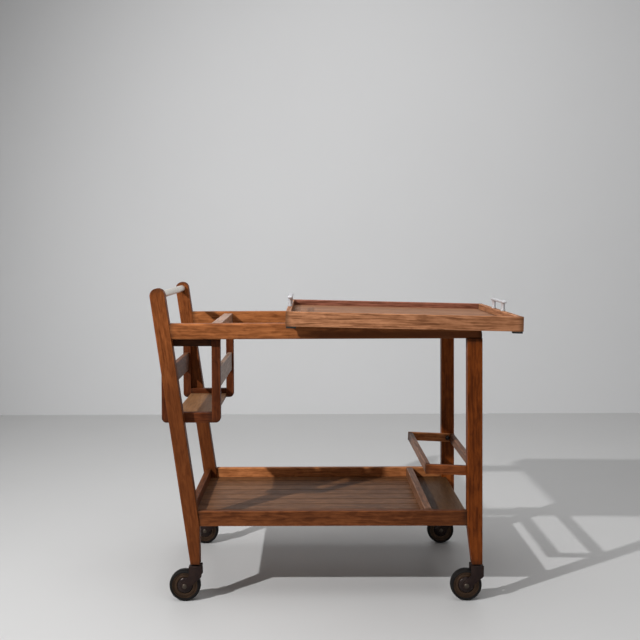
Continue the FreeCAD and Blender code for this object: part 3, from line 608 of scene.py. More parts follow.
@dataclass(frozen=True)
class Rubber:
    """Old black rubber with dust in patches and fine pits."""

    colour: Colour
    dust: Colour
    roughness: float
    sheen: float = 0.12
    dust_share: float = 0.6
    dust_roughness: float = 0.2
    pit_roughness: float = 0.2
    relief: float = 0.16
    relief_depth: float = 0.0003

    def material(self, name: str) -> bpy.types.Material:
        """Make the material.

        Args:
            name: Name of the material.

        Returns:
            The material.
        """
        shader = Shader(bpy.data.materials.new(name))
        place = shader.coordinates()
        patches = shader.noise(place, DUST_PATCHES)
        pits = shader.noise(place, RUBBER_PITS)
        roughness = self.roughness + patches * self.dust_roughness + (pits - 0.5) * self.pit_roughness
        return shader.surface({
            "Base Color": shader.mix(patches * self.dust_share, self.colour, self.dust),
            "Roughness": roughness,
            "Specular IOR Level": self.sheen,
            "Normal": shader.bump(pits, self.relief, self.relief_depth),
        })


@dataclass(frozen=True)
class Felt:
    """Pressed felt: matted fibres with a soft nap."""

    colour: Colour
    nap: Colour
    nap_low: float = 0.4
    nap_high: float = 0.7
    roughness: float = 0.95
    relief: float = 0.5
    relief_depth: float = 0.0006

    def material(self, name: str) -> bpy.types.Material:
        """Make the material.

        Args:
            name: Name of the material.

        Returns:
            The material.
        """
        shader = Shader(bpy.data.materials.new(name))
        hairs = shader.noise(shader.coordinates(), FELT_HAIRS)
        raised = shader.smooth(hairs, self.nap_low, self.nap_high)
        return shader.surface({
            "Base Color": shader.mix(raised, self.colour, self.nap),
            "Roughness": self.roughness,
            "Normal": shader.bump(hairs, self.relief, self.relief_depth),
        })


@dataclass(frozen=True)
class Plaster:
    """A pale painted wall or floor, a little uneven."""

    colour: Colour
    stain: Colour
    roughness: float
    stain_share: float = 0.35

    def material(self, name: str) -> bpy.types.Material:
        """Make the material.

        Args:
            name: Name of the material.

        Returns:
            The material.
        """
        shader = Shader(bpy.data.materials.new(name))
        clouds = shader.noise(shader.coordinates(), PAINT_CLOUDS)
        return shader.surface({
            "Base Color": shader.mix(clouds * self.stain_share, self.colour, self.stain),
            "Roughness": self.roughness,
        })


RAIL_WOOD = Wood(middle=(0.270, 0.088, 0.027))
# Painted shadow: the near rail is darker in its lower half from under the tray's left end to its right end,
# standing in for the tray's shadow
NEAR_RAIL_SHADOW_WOOD = replace(RAIL_WOOD, painted_shade=PaintedShade(start=-0.11, full=-0.02, share=0.85, below=0.0))
FAR_RAIL_WOOD = replace(RAIL_WOOD, middle=(0.320, 0.108, 0.033))
# Painted sheen in part: the cross-bar's pale, greyish colour stands in for the sheen on its top; its raised
# specular is real
CROSS_SHEEN_WOOD = Wood(middle=(0.36, 0.20, 0.13), roughness=0.36, sheen=0.3)
# Painted shade: the left legs darken from their tops down to mid-height, standing in for the key lamp's
# light falling off
POST_SHADE_WOOD = Wood(middle=(0.185, 0.052, 0.0130), painted_shade=PaintedShade(start=0.70, full=0.52, share=0.58))
LEG_WOOD = Wood(middle=(0.142, 0.032, 0.0046))
FAR_LEG_WOOD = Wood(middle=(0.180, 0.042, 0.0062))
RACK_WOOD = Wood(middle=(0.088, 0.022, 0.0065))
# Painted shadow: the rack's top rails are almost black, standing in for the shade under the cart's top
# rails
RACK_TOP_SHADOW_WOOD = Wood(middle=(0.040, 0.012, 0.004))
SLAT_WOOD = Wood(middle=(0.108, 0.038, 0.015), sheen=0.25)
# Painted reflection: the right slat's pale, greyish colour stands in for the pale background that its face
# reflects
SLAT_SHEEN_WOOD = Wood(middle=(0.235, 0.145, 0.100), sheen=0.3)
SHELF_RAIL_WOOD = Wood(middle=(0.132, 0.040, 0.0122), wear_share=0.55)
# Painted shade: the near shelf rail darkens towards its right end, standing in for the key lamp's light
# falling off
NEAR_SHELF_SHADE_WOOD = replace(SHELF_RAIL_WOOD, painted_shade=PaintedShade(start=0.0, full=0.32, share=0.42))
# Painted light: the far shelf rail and far guard rail are about three times lighter than the other shelf
# rails, standing in for light falling on them where the model shades them
FAR_SHELF_LIT_WOOD = replace(SHELF_RAIL_WOOD, middle=(0.400, 0.146, 0.050))
GUARD_WOOD = replace(SHELF_RAIL_WOOD, middle=(0.160, 0.044, 0.0122))
# Painted sheen in part: the guard's end rails and the divider are lighter and greyer, standing in for the
# sheen on their faces and tops
RAIL_SHEEN_WOOD = replace(SHELF_RAIL_WOOD, middle=(0.175, 0.078, 0.040), sheen=0.18)
SHELF_WOOD = BoardedWood(middle=(0.168, 0.074, 0.031), roughness=0.40, sheen=0.11)
BAY_WOOD = Wood(middle=(0.085, 0.040, 0.0155), roughness=0.42, darkest=0.7, lightest=1.3)
BOARD_WOOD = Wood(middle=(0.215, 0.105, 0.046), sheen=0.12, darkest=0.75, lightest=1.25)
TRAY_WOOD = Wood(middle=(0.320, 0.136, 0.062), darkest=0.42, roughness=0.50, ring_spacing=0.0045,
                 ring_share=0.10, streak_share=0.50, mottle_share=0.22, wear_share=0.6)
# Painted shade: the tray's near side darkens towards its right end, standing in for the key lamp's light
# falling off
NEAR_TRAY_SHADE_WOOD = replace(TRAY_WOOD, middle=(0.330, 0.138, 0.063), darkest=0.36, lightest=1.7,
                         painted_shade=PaintedShade(start=0.05, full=0.42, share=0.25))
FAR_TRAY_WOOD = replace(TRAY_WOOD, middle=(0.215, 0.080, 0.048))
PANEL_WOOD = replace(TRAY_WOOD, middle=(0.275, 0.128, 0.064), darkest=0.6)
DOWEL_WOOD = Wood(middle=(0.36, 0.23, 0.12))
TUBE_METAL = Metal(colour=(0.86, 0.82, 0.75), cloud=(0.66, 0.63, 0.58), roughness=0.36,
                   scratch=(900.0, 14.0, 900.0))
GRIP_METAL = Metal(colour=(0.60, 0.60, 0.62), cloud=(0.50, 0.50, 0.52), roughness=0.30,
                   scratch=(700.0, 22.0, 700.0), metallic=0.3, relief=0.03)
SCREW_METAL = Metal(colour=(0.060, 0.052, 0.048), cloud=(0.022, 0.018, 0.016), roughness=0.34,
                    scratch=(600.0, 600.0, 600.0))
FORK_METAL = Metal(colour=(0.020, 0.012, 0.011), cloud=(0.036, 0.021, 0.016), roughness=0.40,
                   scratch=(300.0, 300.0, 60.0), metallic=0.45, sheen=0.12)
HUB_METAL = Metal(colour=(0.018, 0.011, 0.010), cloud=(0.034, 0.020, 0.015), roughness=0.24,
                  scratch=(260.0, 260.0, 260.0), metallic=0.4, sheen=0.22)
DISC_METAL = Metal(colour=(0.060, 0.033, 0.018), cloud=(0.020, 0.012, 0.008), roughness=0.38,
                   scratch=(350.0, 120.0, 350.0), metallic=0.75)
AXLE_METAL = Metal(colour=(0.070, 0.055, 0.042), cloud=(0.028, 0.019, 0.014), roughness=0.36,
                   scratch=(500.0, 500.0, 500.0), metallic=0.8)
TYRE_RUBBER = Rubber(colour=(0.007, 0.006, 0.006), dust=(0.013, 0.011, 0.009), roughness=0.5)
PAD_FELT = Felt(colour=(0.008, 0.007, 0.006), nap=(0.026, 0.022, 0.019))
WALL_PAINT = Plaster(colour=(0.700, 0.702, 0.707), stain=(0.675, 0.677, 0.682), roughness=0.9)
FLOOR_PAINT = Plaster(colour=(0.575, 0.573, 0.570), stain=(0.545, 0.543, 0.540), roughness=0.5)


class Form:
    """A mesh under construction with bmesh operators."""

    def __init__(self) -> None:
        """Start with nothing."""
        self.mesh = bmesh.new()

    def _fresh(self, before: set[bmesh.types.BMVert]) -> list[bmesh.types.BMVert]:
        """Return the vertices that were added since then."""
        return [vertex for vertex in self.mesh.verts if vertex not in before]

    def _settle(self, before: set[bmesh.types.BMVert], place: Matrix) -> None:
        """Move what was added since then to its place."""
        bmesh.ops.transform(self.mesh, matrix=place, verts=self._fresh(before))

    def turn(self, profile: Profile, place: Matrix, closed: bool = False) -> None:
        """Spin a profile about the local Z axis.

        Args:
            profile: Points of radius and height.
            place: Where the local axes lie.
            closed: Whether the last point joins the first, as round a ring.
        """
        before = set(self.mesh.verts)
        points = [self.mesh.verts.new((radius, 0, height)) for radius, height in profile]
        pairs = list(zip(points, points[1:]))
        if closed:
            pairs.append((points[-1], points[0]))
        edges = [self.mesh.edges.new(pair) for pair in pairs]
        bmesh.ops.spin(self.mesh, geom=points + edges, cent=(0, 0, 0), axis=Z_AXIS, angle=math.tau,
                       steps=TURN_STEPS, use_merge=True, use_duplicate=False)
        bmesh.ops.remove_doubles(self.mesh, verts=self._fresh(before), dist=MERGE_DISTANCE)
        self._settle(before, place)

    def block(self, size: Vector, place: Matrix) -> None:
        """Add a block about the local origin.

        Args:
            size: Its three sizes.
            place: Where the local axes lie.
        """
        before = set(self.mesh.verts)
        bmesh.ops.create_cube(self.mesh, size=1.0, matrix=Matrix.Diagonal((*size, 1.0)))
        self._settle(before, place)

    def plate(self, outline: Profile, thickness: float, place: Matrix) -> None:
        """Add a plate from its outline in the local XZ plane.

        Args:
            outline: Points of X and Z, in order.
            thickness: Its thickness, along the local Y axis.
            place: Where the local axes lie.
        """
        before = set(self.mesh.verts)
        face = self.mesh.faces.new([self.mesh.verts.new((x, 0, z)) for x, z in outline])
        grown = bmesh.ops.extrude_face_region(self.mesh, geom=[face], use_keep_orig=True)
        far = [item for item in grown["geom"] if isinstance(item, bmesh.types.BMVert)]
        bmesh.ops.translate(self.mesh, verts=far, vec=Y_AXIS * thickness)
        self._settle(before, place)

    def sheet(self, corners: Iterable[Sequence[float]]) -> None:
        """Add one flat face from its corners."""
        self.mesh.faces.new([self.mesh.verts.new(corner) for corner in corners])

    def ease(self, radius: float, segments: int = 3) -> None:
        """Round every edge that is sharper than EASE_LIMIT.

        Args:
            radius: Width of the rounding.
            segments: How many facets it has.
        """
        bmesh.ops.recalc_face_normals(self.mesh, faces=self.mesh.faces[:])
        sharp = [edge for edge in self.mesh.edges
                 if len(edge.link_faces) == 2 and edge.calc_face_angle() > EASE_LIMIT]
        bmesh.ops.bevel(self.mesh, geom=sharp, offset=radius, offset_type="OFFSET", segments=segments,
                        profile=0.5, affect="EDGES", clamp_overlap=True, material=-1)

    def finish(self, name: str, material: bpy.types.Material) -> bpy.types.Object:
        """Make the object.

        Args:
            name: Name of the piece.
            material: Its material.

        Returns:
            The piece, at the origin.
        """
        bmesh.ops.recalc_face_normals(self.mesh, faces=self.mesh.faces[:])
        data = bpy.data.meshes.new(name)
        self.mesh.to_mesh(data)
        self.mesh.free()
        data.materials.append(material)
        data.shade_smooth()
        data.set_sharp_from_angle(angle=SMOOTH_LIMIT)
        piece = bpy.data.objects.new(name, data)
        bpy.context.scene.collection.objects.link(piece)
        return piece


def fit(piece: bpy.types.Object, body: str, slot: str, *nodes: str) -> None:
    """Fasten a piece to a body and let it stand for the nodes that it shows.

    Args:
        piece: The finished piece.
        body: The body that it moves with.
        slot: The record's slot of its finish; not used.
        nodes: The nodes that it stands for.
    """
    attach(piece, body)
    if nodes:
        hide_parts(*nodes)
    LOG.info("%s rides on %s, for %s", piece.name, body, ", ".join(nodes) or "itself")


def coat(node: bpy.types.Object, material: bpy.types.Material) -> None:
    """Give a node that keeps its own form its material.

    Args:
        node: The node's object.
        material: The material.
    """
    node.data.materials.clear()
    node.data.materials.append(material)
    LOG.info("%s dressed with %s", node.name, material.name)


def extent(node: bpy.types.Object, direction: Vector) -> tuple[float, float]:
    """Return how far a node reaches along a direction, from its lowest to its highest point."""
    reaches = [vertex.co.dot(direction) for vertex in node.data.vertices]
    return min(reaches), max(reaches)


def largest_face(node: bpy.types.Object) -> Vector:
    """Return the outward direction of a node's largest flat face."""
    return max(node.data.polygons, key=lambda face: face.area).normal.copy()


def tray_up(nodes: dict[str, bpy.types.Object]) -> Vector:
    """Return the direction upwards out of the tray's floor."""
    out = largest_face(nodes["tray_floor"])
    return out * math.copysign(1, out.z)


def arc(x: float, z: float, radius: float, start: int, stop: int,
        step: int = ARC_STEP) -> list[tuple[float, float]]:
    """Return points round an arc.

    Args:
        x: Its centre.
        z: Its centre.
        radius: Its radius.
        start: Where it starts, in degrees.
        stop: Where it ends, in degrees.
        step: Degrees between two points.

    Returns:
        The points, both ends with them.
    """
    turns = [math.radians(angle) for angle in (*range(start, stop, step), stop)]
    return [(x + radius * math.cos(turn), z + radius * math.sin(turn)) for turn in turns]


def scaled(section: Profile, radius: float, height: float, start: float = 0.0) -> list[tuple[float, float]]:
    """Return a section that is given in shares of a radius and of a height, at its real size."""
    return [(radius * out, start + height * up) for out, up in section]


def mirrored(side: Profile) -> list[tuple[float, float]]:
    """Return half a section, and then its other half below."""
    return [*side, *((radius, -height) for radius, height in reversed(side))]


def middle(node: str) -> Vector:
    """Return the middle of a node's box."""
    low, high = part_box(node)
    return (low + high) / 2


def axes(x: Vector, y: Vector, z: Vector, origin: Vector) -> Matrix:
    """Return the matrix of a place with these local axes."""
    return Matrix.Translation(origin) @ Matrix((x, y, z)).transposed().to_4x4()


@dataclass
class Woodwork:
    """All the wooden pieces, each with fibres along its length."""

    nodes: dict[str, bpy.types.Object]
    post_lean: float = math.radians(8.2)

    def directions(self) -> dict[Grain, Vector]:
        """Find the direction of the fibres.

        Returns:
            The direction for each kind of grain.
        """
        guard_along = largest_face(self.nodes["left_guard_rail"])
        return {
            Grain.LENGTH: X_AXIS,
            Grain.DEPTH: Y_AXIS,
            Grain.HEIGHT: Z_AXIS,
            Grain.POST: Vector((-math.sin(self.post_lean), 0, math.cos(self.post_lean))),
            Grain.TRAY: Y_AXIS.cross(tray_up(self.nodes)),
            Grain.GUARD: guard_along * math.copysign(1, guard_along.x),
        }

    @staticmethod
    def grains() -> dict[str, tuple[Wood, Grain]]:
        """List the wooden nodes.

        Returns:
            The finish and grain of each.
        """
        table: dict[str, tuple[Wood, Grain]] = {
            "near_top_rail": (NEAR_RAIL_SHADOW_WOOD, Grain.LENGTH),
            "far_top_rail": (FAR_RAIL_WOOD, Grain.LENGTH),
            "top_cross_bar": (CROSS_SHEEN_WOOD, Grain.DEPTH),
            "top_end_bar": (RAIL_WOOD, Grain.DEPTH),
            "frame_dowels": (DOWEL_WOOD, Grain.DEPTH),
            "near_right_leg": (LEG_WOOD, Grain.HEIGHT),
            "far_right_leg": (FAR_LEG_WOOD, Grain.HEIGHT),
            "shelf_end_rail": (SHELF_RAIL_WOOD, Grain.DEPTH),
            "near_shelf_rail": (NEAR_SHELF_SHADE_WOOD, Grain.LENGTH),
            "far_shelf_rail": (FAR_SHELF_LIT_WOOD, Grain.LENGTH),
            "shelf_divider": (RAIL_SHEEN_WOOD, Grain.DEPTH),
            "shelf_boards": (SHELF_WOOD, Grain.LENGTH),
            "shelf_bearers": (BAY_WOOD, Grain.DEPTH),
            "bay_floor": (BAY_WOOD, Grain.DEPTH),
            "near_guard_rail": (GUARD_WOOD, Grain.GUARD),
            "far_guard_rail": (FAR_SHELF_LIT_WOOD, Grain.GUARD),
            "rack_board": (BOARD_WOOD, Grain.DEPTH),
            "rack_left_slat": (SLAT_WOOD, Grain.DEPTH),
            "rack_right_slat": (SLAT_SHEEN_WOOD, Grain.DEPTH),
            "tray_near_side": (NEAR_TRAY_SHADE_WOOD, Grain.TRAY),
            "tray_far_side": (FAR_TRAY_WOOD, Grain.TRAY),
            "tray_floor": (PANEL_WOOD, Grain.TRAY),
        }
        for side in SIDES:
            table[f"{side}_left_leg"] = (POST_SHADE_WOOD, Grain.POST)
            table[f"rack_{side}_top_rail"] = (RACK_TOP_SHADOW_WOOD, Grain.LENGTH)
            table[f"rack_{side}_bottom_rail"] = (RACK_WOOD, Grain.LENGTH)
            for end in ENDS:
                table[f"rack_{side}_{end}_post"] = (RACK_WOOD, Grain.HEIGHT)
        for end in ENDS:
            table[f"{end}_guard_rail"] = (RAIL_SHEEN_WOOD, Grain.DEPTH)
            table[f"tray_{end}_end"] = (TRAY_WOOD, Grain.DEPTH)
        return table

    def dress(self) -> None:
        """Give every wooden node its own material."""
        directions = self.directions()
        for number, (name, (wood, grain)) in enumerate(sorted(self.grains().items())):
            piece = PieceFrame.of(self.nodes[name], directions[grain])
            coat(self.nodes[name], wood.material(f"{name}_wood", piece, number))


@dataclass
class HandleTube:
    """The metal tube between the tops of the handle posts."""

    node: bpy.types.Object

    def dress(self) -> None:
        """Give the tube its satin metal."""
        coat(self.node, TUBE_METAL.material("handle_tube_metal"))


@dataclass
class ServingTray:
    """The tray's metal handles and felt pads, in the tray's own tilted axes."""

    nodes: dict[str, bpy.types.Object]
    bar_height: float = 0.007
    bar_width: float = 0.012
    bar_round: float = 0.0026
    bar_facets: int = 4
    post_spacing: float = 0.113
    post_radius: float = 0.0050
    waist_radius: float = 0.0047
    waist_at: float = 0.55
    flare: float = 1.12
    flare_from: float = 0.92
    collar_radius: float = 0.0062
    collar_height: float = 0.0030
    collar_slope: float = 1.25
    pad_length: float = 0.024
    pad_round: float = 0.0012
    up: Vector = field(init=False)
    along: Vector = field(init=False)

    def __post_init__(self) -> None:
        """Read the tray's tilt from its floor."""
        self.up = tray_up(self.nodes)
        self.along = Y_AXIS.cross(self.up)

    def place(self, origin: Vector) -> Matrix:
        """Return a place with the tray's axes."""
        return axes(self.along, Y_AXIS, self.up, origin)

    def grip(self, end: str) -> None:
        """Build one handle: a rounded flat bar on two turned posts.

        Args:
            end: The end of the tray.
        """
        name = f"tray_{end}_handle"
        low, high = extent(self.nodes[name], self.up)
        first, last = extent(self.nodes[name], self.along)
        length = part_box(name)[1].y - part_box(name)[0].y
        foot = self.along * ((first + last) / 2) + self.up * low
        rise = high - low
        neck = rise - self.bar_height
        form = Form()
        form.block(Vector((self.bar_width, length, self.bar_height)),
                   self.place(foot + self.up * (rise - self.bar_height / 2)))
        form.ease(self.bar_round, self.bar_facets)
        profile = [
            (0.0, 0.0),
            (self.collar_radius, 0.0),
            (self.collar_radius, self.collar_height),
            (self.post_radius, self.collar_height * self.collar_slope),
            (self.waist_radius, neck * self.waist_at),
            (self.post_radius, neck * self.flare_from),
            (self.post_radius * self.flare, neck),
            (self.post_radius, neck + self.bar_round),
            (0.0, neck + self.bar_round),
        ]
        for side in SIDES.values():
            form.turn(profile, self.place(foot + Y_AXIS * (side * self.post_spacing / 2)))
        fit(form.finish(f"{name}_bar", GRIP_METAL.material(f"{name}_metal")), "tray", "tray_handle", name)

    def pads(self) -> None:
        """Build the four felt pads under the sides' ends."""
        low, high = extent(self.nodes["tray_pads"], self.up)
        first, last = extent(self.nodes["tray_pads"], self.along)
        outer, inner = (corner.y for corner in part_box("tray_near_side"))
        size = Vector((self.pad_length, inner - outer, high - low))
        form = Form()
        for start in (first, last - self.pad_length):
            centre = self.along * (start + self.pad_length / 2) + self.up * ((low + high) / 2)
            for side in SIDES:
                form.block(size, self.place(centre + Y_AXIS * middle(f"tray_{side}_side").y))
        form.ease(self.pad_round)
        fit(form.finish("tray_felt_pads", PAD_FELT.material("pad_felt")), "tray", "pad", "tray_pads")

    def build(self) -> None:
        """Build the handles and pads."""
        for end in ENDS:
            self.grip(end)
        self.pads()


@dataclass(frozen=True)
class ScrewSize:
    """Sizes of one kind of screw."""

    head_radius: float
    head_height: float
    radius: float


@dataclass
class Screws:
    """Round-headed slotted screws of the guard and the rack."""

    pivot: ScrewSize = ScrewSize(head_radius=0.0065, head_height=0.005, radius=0.003)
    rack: ScrewSize = ScrewSize(head_radius=0.004, head_height=0.0025, radius=0.002)
    leg_screw_drop: float = 0.022
    bar_screw_rest: float = 0.010
    rim_share: float = 0.25
    dome_end: int = 75
    slot_reach: float = 2.4
    slot_share: float = 0.17
    slot_depth_share: float = 0.45
    slot_turn: float = 0.5

    def screw(self, name: str, size: ScrewSize, length: float, place: Matrix, *nodes: str) -> None:
        """Build one screw with a domed head and a slot cut across it.

        Args:
            name: Name of the piece.
            size: Sizes of its head and shank.
            length: Length of its shank, below the head.
            place: The underside of the head, with +Z out of the head.
            nodes: The nodes that it stands for.
        """
        radius = size.head_radius
        height = size.head_height
        rim = height * self.rim_share
        dome = scaled(arc(0.0, 0.0, 1.0, 0, self.dome_end), radius, height - rim, rim)
        form = Form()
        form.turn([(0.0, -length), (size.radius, -length), (size.radius, 0.0), (radius, 0.0), *dome,
                   (0.0, height)], place)
        piece = form.finish(name, SCREW_METAL.material(f"{name}_metal"))
        tool = Form()
        slot = Vector((radius * self.slot_reach, radius * 2 * self.slot_share,
                       height * 2 * self.slot_depth_share))
        turned = Matrix.Rotation(self.slot_turn, 4, "Z")
        tool.block(slot, place @ Matrix.Translation((0, 0, height)) @ turned)
        self.cut(piece, tool.finish(f"{name}_cutter", piece.data.materials[0]))
        fit(piece, "cart_frame", "screw", *nodes)

    @staticmethod
    def cut(piece: bpy.types.Object, cutter: bpy.types.Object) -> None:
        """Cut a form out of a piece.

        Args:
            piece: The piece.
            cutter: The form, which is removed afterwards.
        """
        slot = piece.modifiers.new("slot", "BOOLEAN")
        slot.object = cutter
        slot.solver = "EXACT"
        graph = bpy.context.evaluated_depsgraph_get()
        data = bpy.data.meshes.new_from_object(piece.evaluated_get(graph))
        piece.modifiers.clear()
        piece.data = data
        bpy.data.objects.remove(cutter)

    @staticmethod
    def inwards(sign: int, x: float, y: float, z: float) -> Matrix:
        """Return a place whose +Z points from one side of the cart to its middle."""
        return axes(X_AXIS, Z_AXIS * sign, Y_AXIS * -sign, Vector((x, sign * y, z)))

    def build(self) -> None:
        """Build the guard's two pivot screws and the rack's four screws."""
        self.pivot_screws()
        self.rack_screws()

    def pivot_screws(self) -> None:
        """Build the screws on which the guard turns, of which the near one stands for both."""
        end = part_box("guard_pivot_screws")[1].y
        pivot = middle("guard_pivot_screws")
        seat = -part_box("near_guard_rail")[1].y
        for side, sign in SIDES.items():
            place = self.inwards(sign, pivot.x, seat, pivot.z)
            nodes = ["guard_pivot_screws"] if side == "near" else []
            self.screw(f"{side}_pivot_screw", self.pivot, end - seat, place, *nodes)

    def rack_screws(self) -> None:
        """Build the rack's screws in the cross-bar and the legs, of which one stands for all."""
        low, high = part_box("rack_screws")
        head = self.rack.head_radius
        bar_z = high.z - self.rack.head_height
        leg_seat = -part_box("rack_near_left_post")[1].y
        leg_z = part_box("rack_near_left_post")[1].z - self.leg_screw_drop
        for side, sign in SIDES.items():
            bar_seat = Vector((high.x - head, middle(f"rack_{side}_right_post").y, bar_z))
            nodes = ["rack_screws"] if side == "near" else []
            self.screw(f"{side}_bar_screw", self.rack, bar_z - low.z - self.bar_screw_rest,
                       Matrix.Translation(bar_seat), *nodes)
            self.screw(f"{side}_leg_screw", self.rack, high.y - leg_seat,
                       self.inwards(sign, low.x + head, leg_seat, leg_z))


@dataclass
class Caster:
    """One swivelling caster: tyre, bronze disc, domed hub, pressed fork, axle and crown.

    The tyre's bead is given as steps out from the disc and shares of half the tyre's width, and its tread
    as depths below the rolling face and such shares. The sections of crown, rivet and cap are shares of
    their radius and height.
    """

    corner: str
    bead: Profile = ((0.0, 0.80), (0.0008, 0.97), (0.0022, 1.0))
    tread: Profile = ((0.0042, 0.985), (0.0020, 0.90), (0.0006, 0.68), (0.0, 0.34))
    rim_radius: float = 0.0309
    rim_half: float = 0.0092
    groove_outer: float = 0.0282
    groove_inner: float = 0.0256
    groove_half: float = 0.0064
    groove_slope: float = 0.0008
    ring_inner: float = 0.0192
    ring_half: float = 0.0080
    ring_slope: float = 0.0006
    core_half: float = 0.0062
    disc_round: float = 0.0003
    disc_facets: int = 2
    bore: float = 0.0031
    dome_radius: float = 0.0192
    dome_half: float = 0.0112
    dome_flat: float = 0.38
    dome_end: int = 70
    dome_step: int = 10
    boss_radius: float = 0.0095
    boss_start: int = 135
    boss_stop: int = 315
    arm_inner: float = 0.0122
    arm_thickness: float = 0.0026
    arm_half_width: float = 0.0155
    arm_drop: float = 0.0235
    arm_corner: float = 0.006
    arm_corner_start: int = -50
    arm_round: float = 0.0007
    crown_rise: float = 0.0487
    crown_radius: float = 0.016
    crown_height: float = 0.0042
    crown_section: Profile = ((0.0, 0.0), (0.72, 0.0), (0.76, 0.16), (0.94, 0.22), (1.0, 0.42), (1.0, 0.9),
                              (0.96, 1.0))
    rivet_radius: float = 0.0052
    rivet_section: Profile = ((1.3, 1.0), (1.0, 1.25), (0.8, 1.6), (0.0, 1.75))
    axle_share: float = 0.95
    cap_radius: float = 0.0058
    cap_height: float = 0.0024
    cap_sink: float = 0.0002
    cap_section: Profile = ((1.0, 0.35), (0.86, 0.72), (0.55, 1.0), (0.0, 1.0))
    axle: Vector = field(init=False)
    stem: Vector = field(init=False)
    wheel_radius: float = field(init=False)
    wheel_half: float = field(init=False)

    def __post_init__(self) -> None:
        """Read where the wheel and the stem are."""
        low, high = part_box(f"{self.corner}_tyre")
        self.axle = (low + high) / 2
        self.wheel_radius = (high.z - low.z) / 2
        self.wheel_half = (high.y - low.y) / 2
        stem_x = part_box(f"{self.corner}_fork")[1].x - self.crown_radius
        self.stem = Vector((stem_x, self.axle.y, self.axle.z + self.crown_rise))

    def sideways(self, sign: int = 1) -> Matrix:
        """Return the place of the wheel, with local Z along its axle."""
        return axes(X_AXIS, Z_AXIS * -sign, Y_AXIS * sign, self.axle)

    def fasten(self, form: Form, name: str, finish: Metal | Rubber, coating: str, body: str, slot: str,
               *nodes: str) -> None:
        """Finish a piece of this caster and fasten it.

        Args:
            form: The piece's mesh.
            name: Name of the piece, without the corner.
            finish: Its finish.
            coating: Name of its material, without the corner.
            body: The body that it moves with, without the corner.
            slot: The record's slot of its finish.
            nodes: The nodes that it stands for, without the corner.
        """
        piece = form.finish(f"{self.corner}_{name}", finish.material(f"{self.corner}_{coating}"))
        fit(piece, f"{self.corner}_{body}", slot, *(f"{self.corner}_{node}" for node in nodes))

    def tyre(self) -> None:
        """Build the tyre, with a rounded tread, square shoulders and a raised bead."""
        side = [(self.rim_radius + step, self.wheel_half * share) for step, share in self.bead]
        side += [(self.wheel_radius - depth, self.wheel_half * share) for depth, share in self.tread]
        form = Form()
        form.turn(mirrored(side), self.sideways(), closed=True)
        self.fasten(form, "rubber_tyre", TYRE_RUBBER, "rubber", "wheel", "tyre", "tyre")

    def disc(self) -> None:
        """Build the bronze disc with its rim, groove and ring."""
        side = [
            (self.bore, self.core_half),
            (self.ring_inner, self.core_half),
            (self.ring_inner + self.ring_slope, self.ring_half),
            (self.groove_inner - self.groove_slope, self.ring_half),
            (self.groove_inner, self.groove_half),
            (self.groove_outer, self.groove_half),
            (self.groove_outer + self.ring_slope, self.rim_half),
            (self.rim_radius, self.rim_half),
        ]
        form = Form()
        form.turn(mirrored(side), self.sideways(), closed=True)
        form.ease(self.disc_round, self.disc_facets)
        self.fasten(form, "wheel_disc", DISC_METAL, "bronze", "wheel", "wheel_core", "wheel_core")

    def domes(self) -> None:
        """Build the domed hub on both sides of the disc."""
        flat = self.dome_radius * self.dome_flat
        quarter = arc(0.0, 0.0, 1.0, 0, self.dome_end, self.dome_step)
        curve = scaled(quarter, self.dome_radius - flat, self.dome_half - self.core_half, self.core_half)
        rounded = [(flat + out, up) for out, up in curve]
        profile = [(self.bore, self.core_half), *rounded, (self.bore, self.dome_half)]
        form = Form()
        for sign in SIDES.values():
            form.turn(profile, self.sideways(-sign), closed=True)
        self.fasten(form, "hub_domes", HUB_METAL, "hub", "wheel", "wheel_core")

    def arm_outline(self) -> Profile:
        """Draw an arm: wide at the crown, round at the axle.

        Returns:
            Points of X and Z from the axle.
        """
        left = self.stem.x - self.axle.x - self.arm_half_width
        right = self.stem.x - self.axle.x + self.arm_half_width
        top = self.stem.z - self.axle.z
        bend = top - self.arm_drop
        boss = arc(0.0, 0.0, self.boss_radius, self.boss_start, self.boss_stop)
        corner = arc(right - self.arm_corner, bend, self.arm_corner, self.arm_corner_start, 0)
        return [(right, top), (left, top), (left, bend), *boss, *corner]

    def fork(self) -> None:
        """Build the two pressed arms."""
        form = Form()
        for start in (self.arm_inner, -self.arm_inner - self.arm_thickness):
            place = Matrix.Translation(self.axle + Y_AXIS * start)
            form.plate(self.arm_outline(), self.arm_thickness, place)
        form.ease(self.arm_round)
        self.fasten(form, "fork_arms", FORK_METAL, "fork_paint", "swivel", "fork", "fork")

    def crown(self) -> None:
        """Build the crown plate, with a rivet head under it."""
        form = Form()
        form.turn([*scaled(self.crown_section, self.crown_radius, -self.crown_height),
                   *scaled(self.rivet_section, self.rivet_radius, -self.crown_height)],
                  Matrix.Translation(self.stem))
        self.fasten(form, "fork_crown", FORK_METAL, "crown_paint", "swivel", "fork")

    def axle_bolt(self) -> None:
        """Build the axle with a riveted cap on each side."""
        outer = self.arm_inner + self.arm_thickness
        side = [
            (self.bore * self.axle_share, outer - self.cap_sink),
            (self.cap_radius, outer - self.cap_sink),
            *scaled(self.cap_section, self.cap_radius, self.cap_height, outer),
        ]
        form = Form()
        form.turn(mirrored(side[::-1]), self.sideways())
        self.fasten(form, "axle_bolt", AXLE_METAL, "axle_steel", "swivel", "axle", "axle")

    def build(self) -> None:
        """Build all the pieces of the caster."""
        self.tyre()
        self.disc()
        self.domes()
        self.fork()
        self.crown()
        self.axle_bolt()


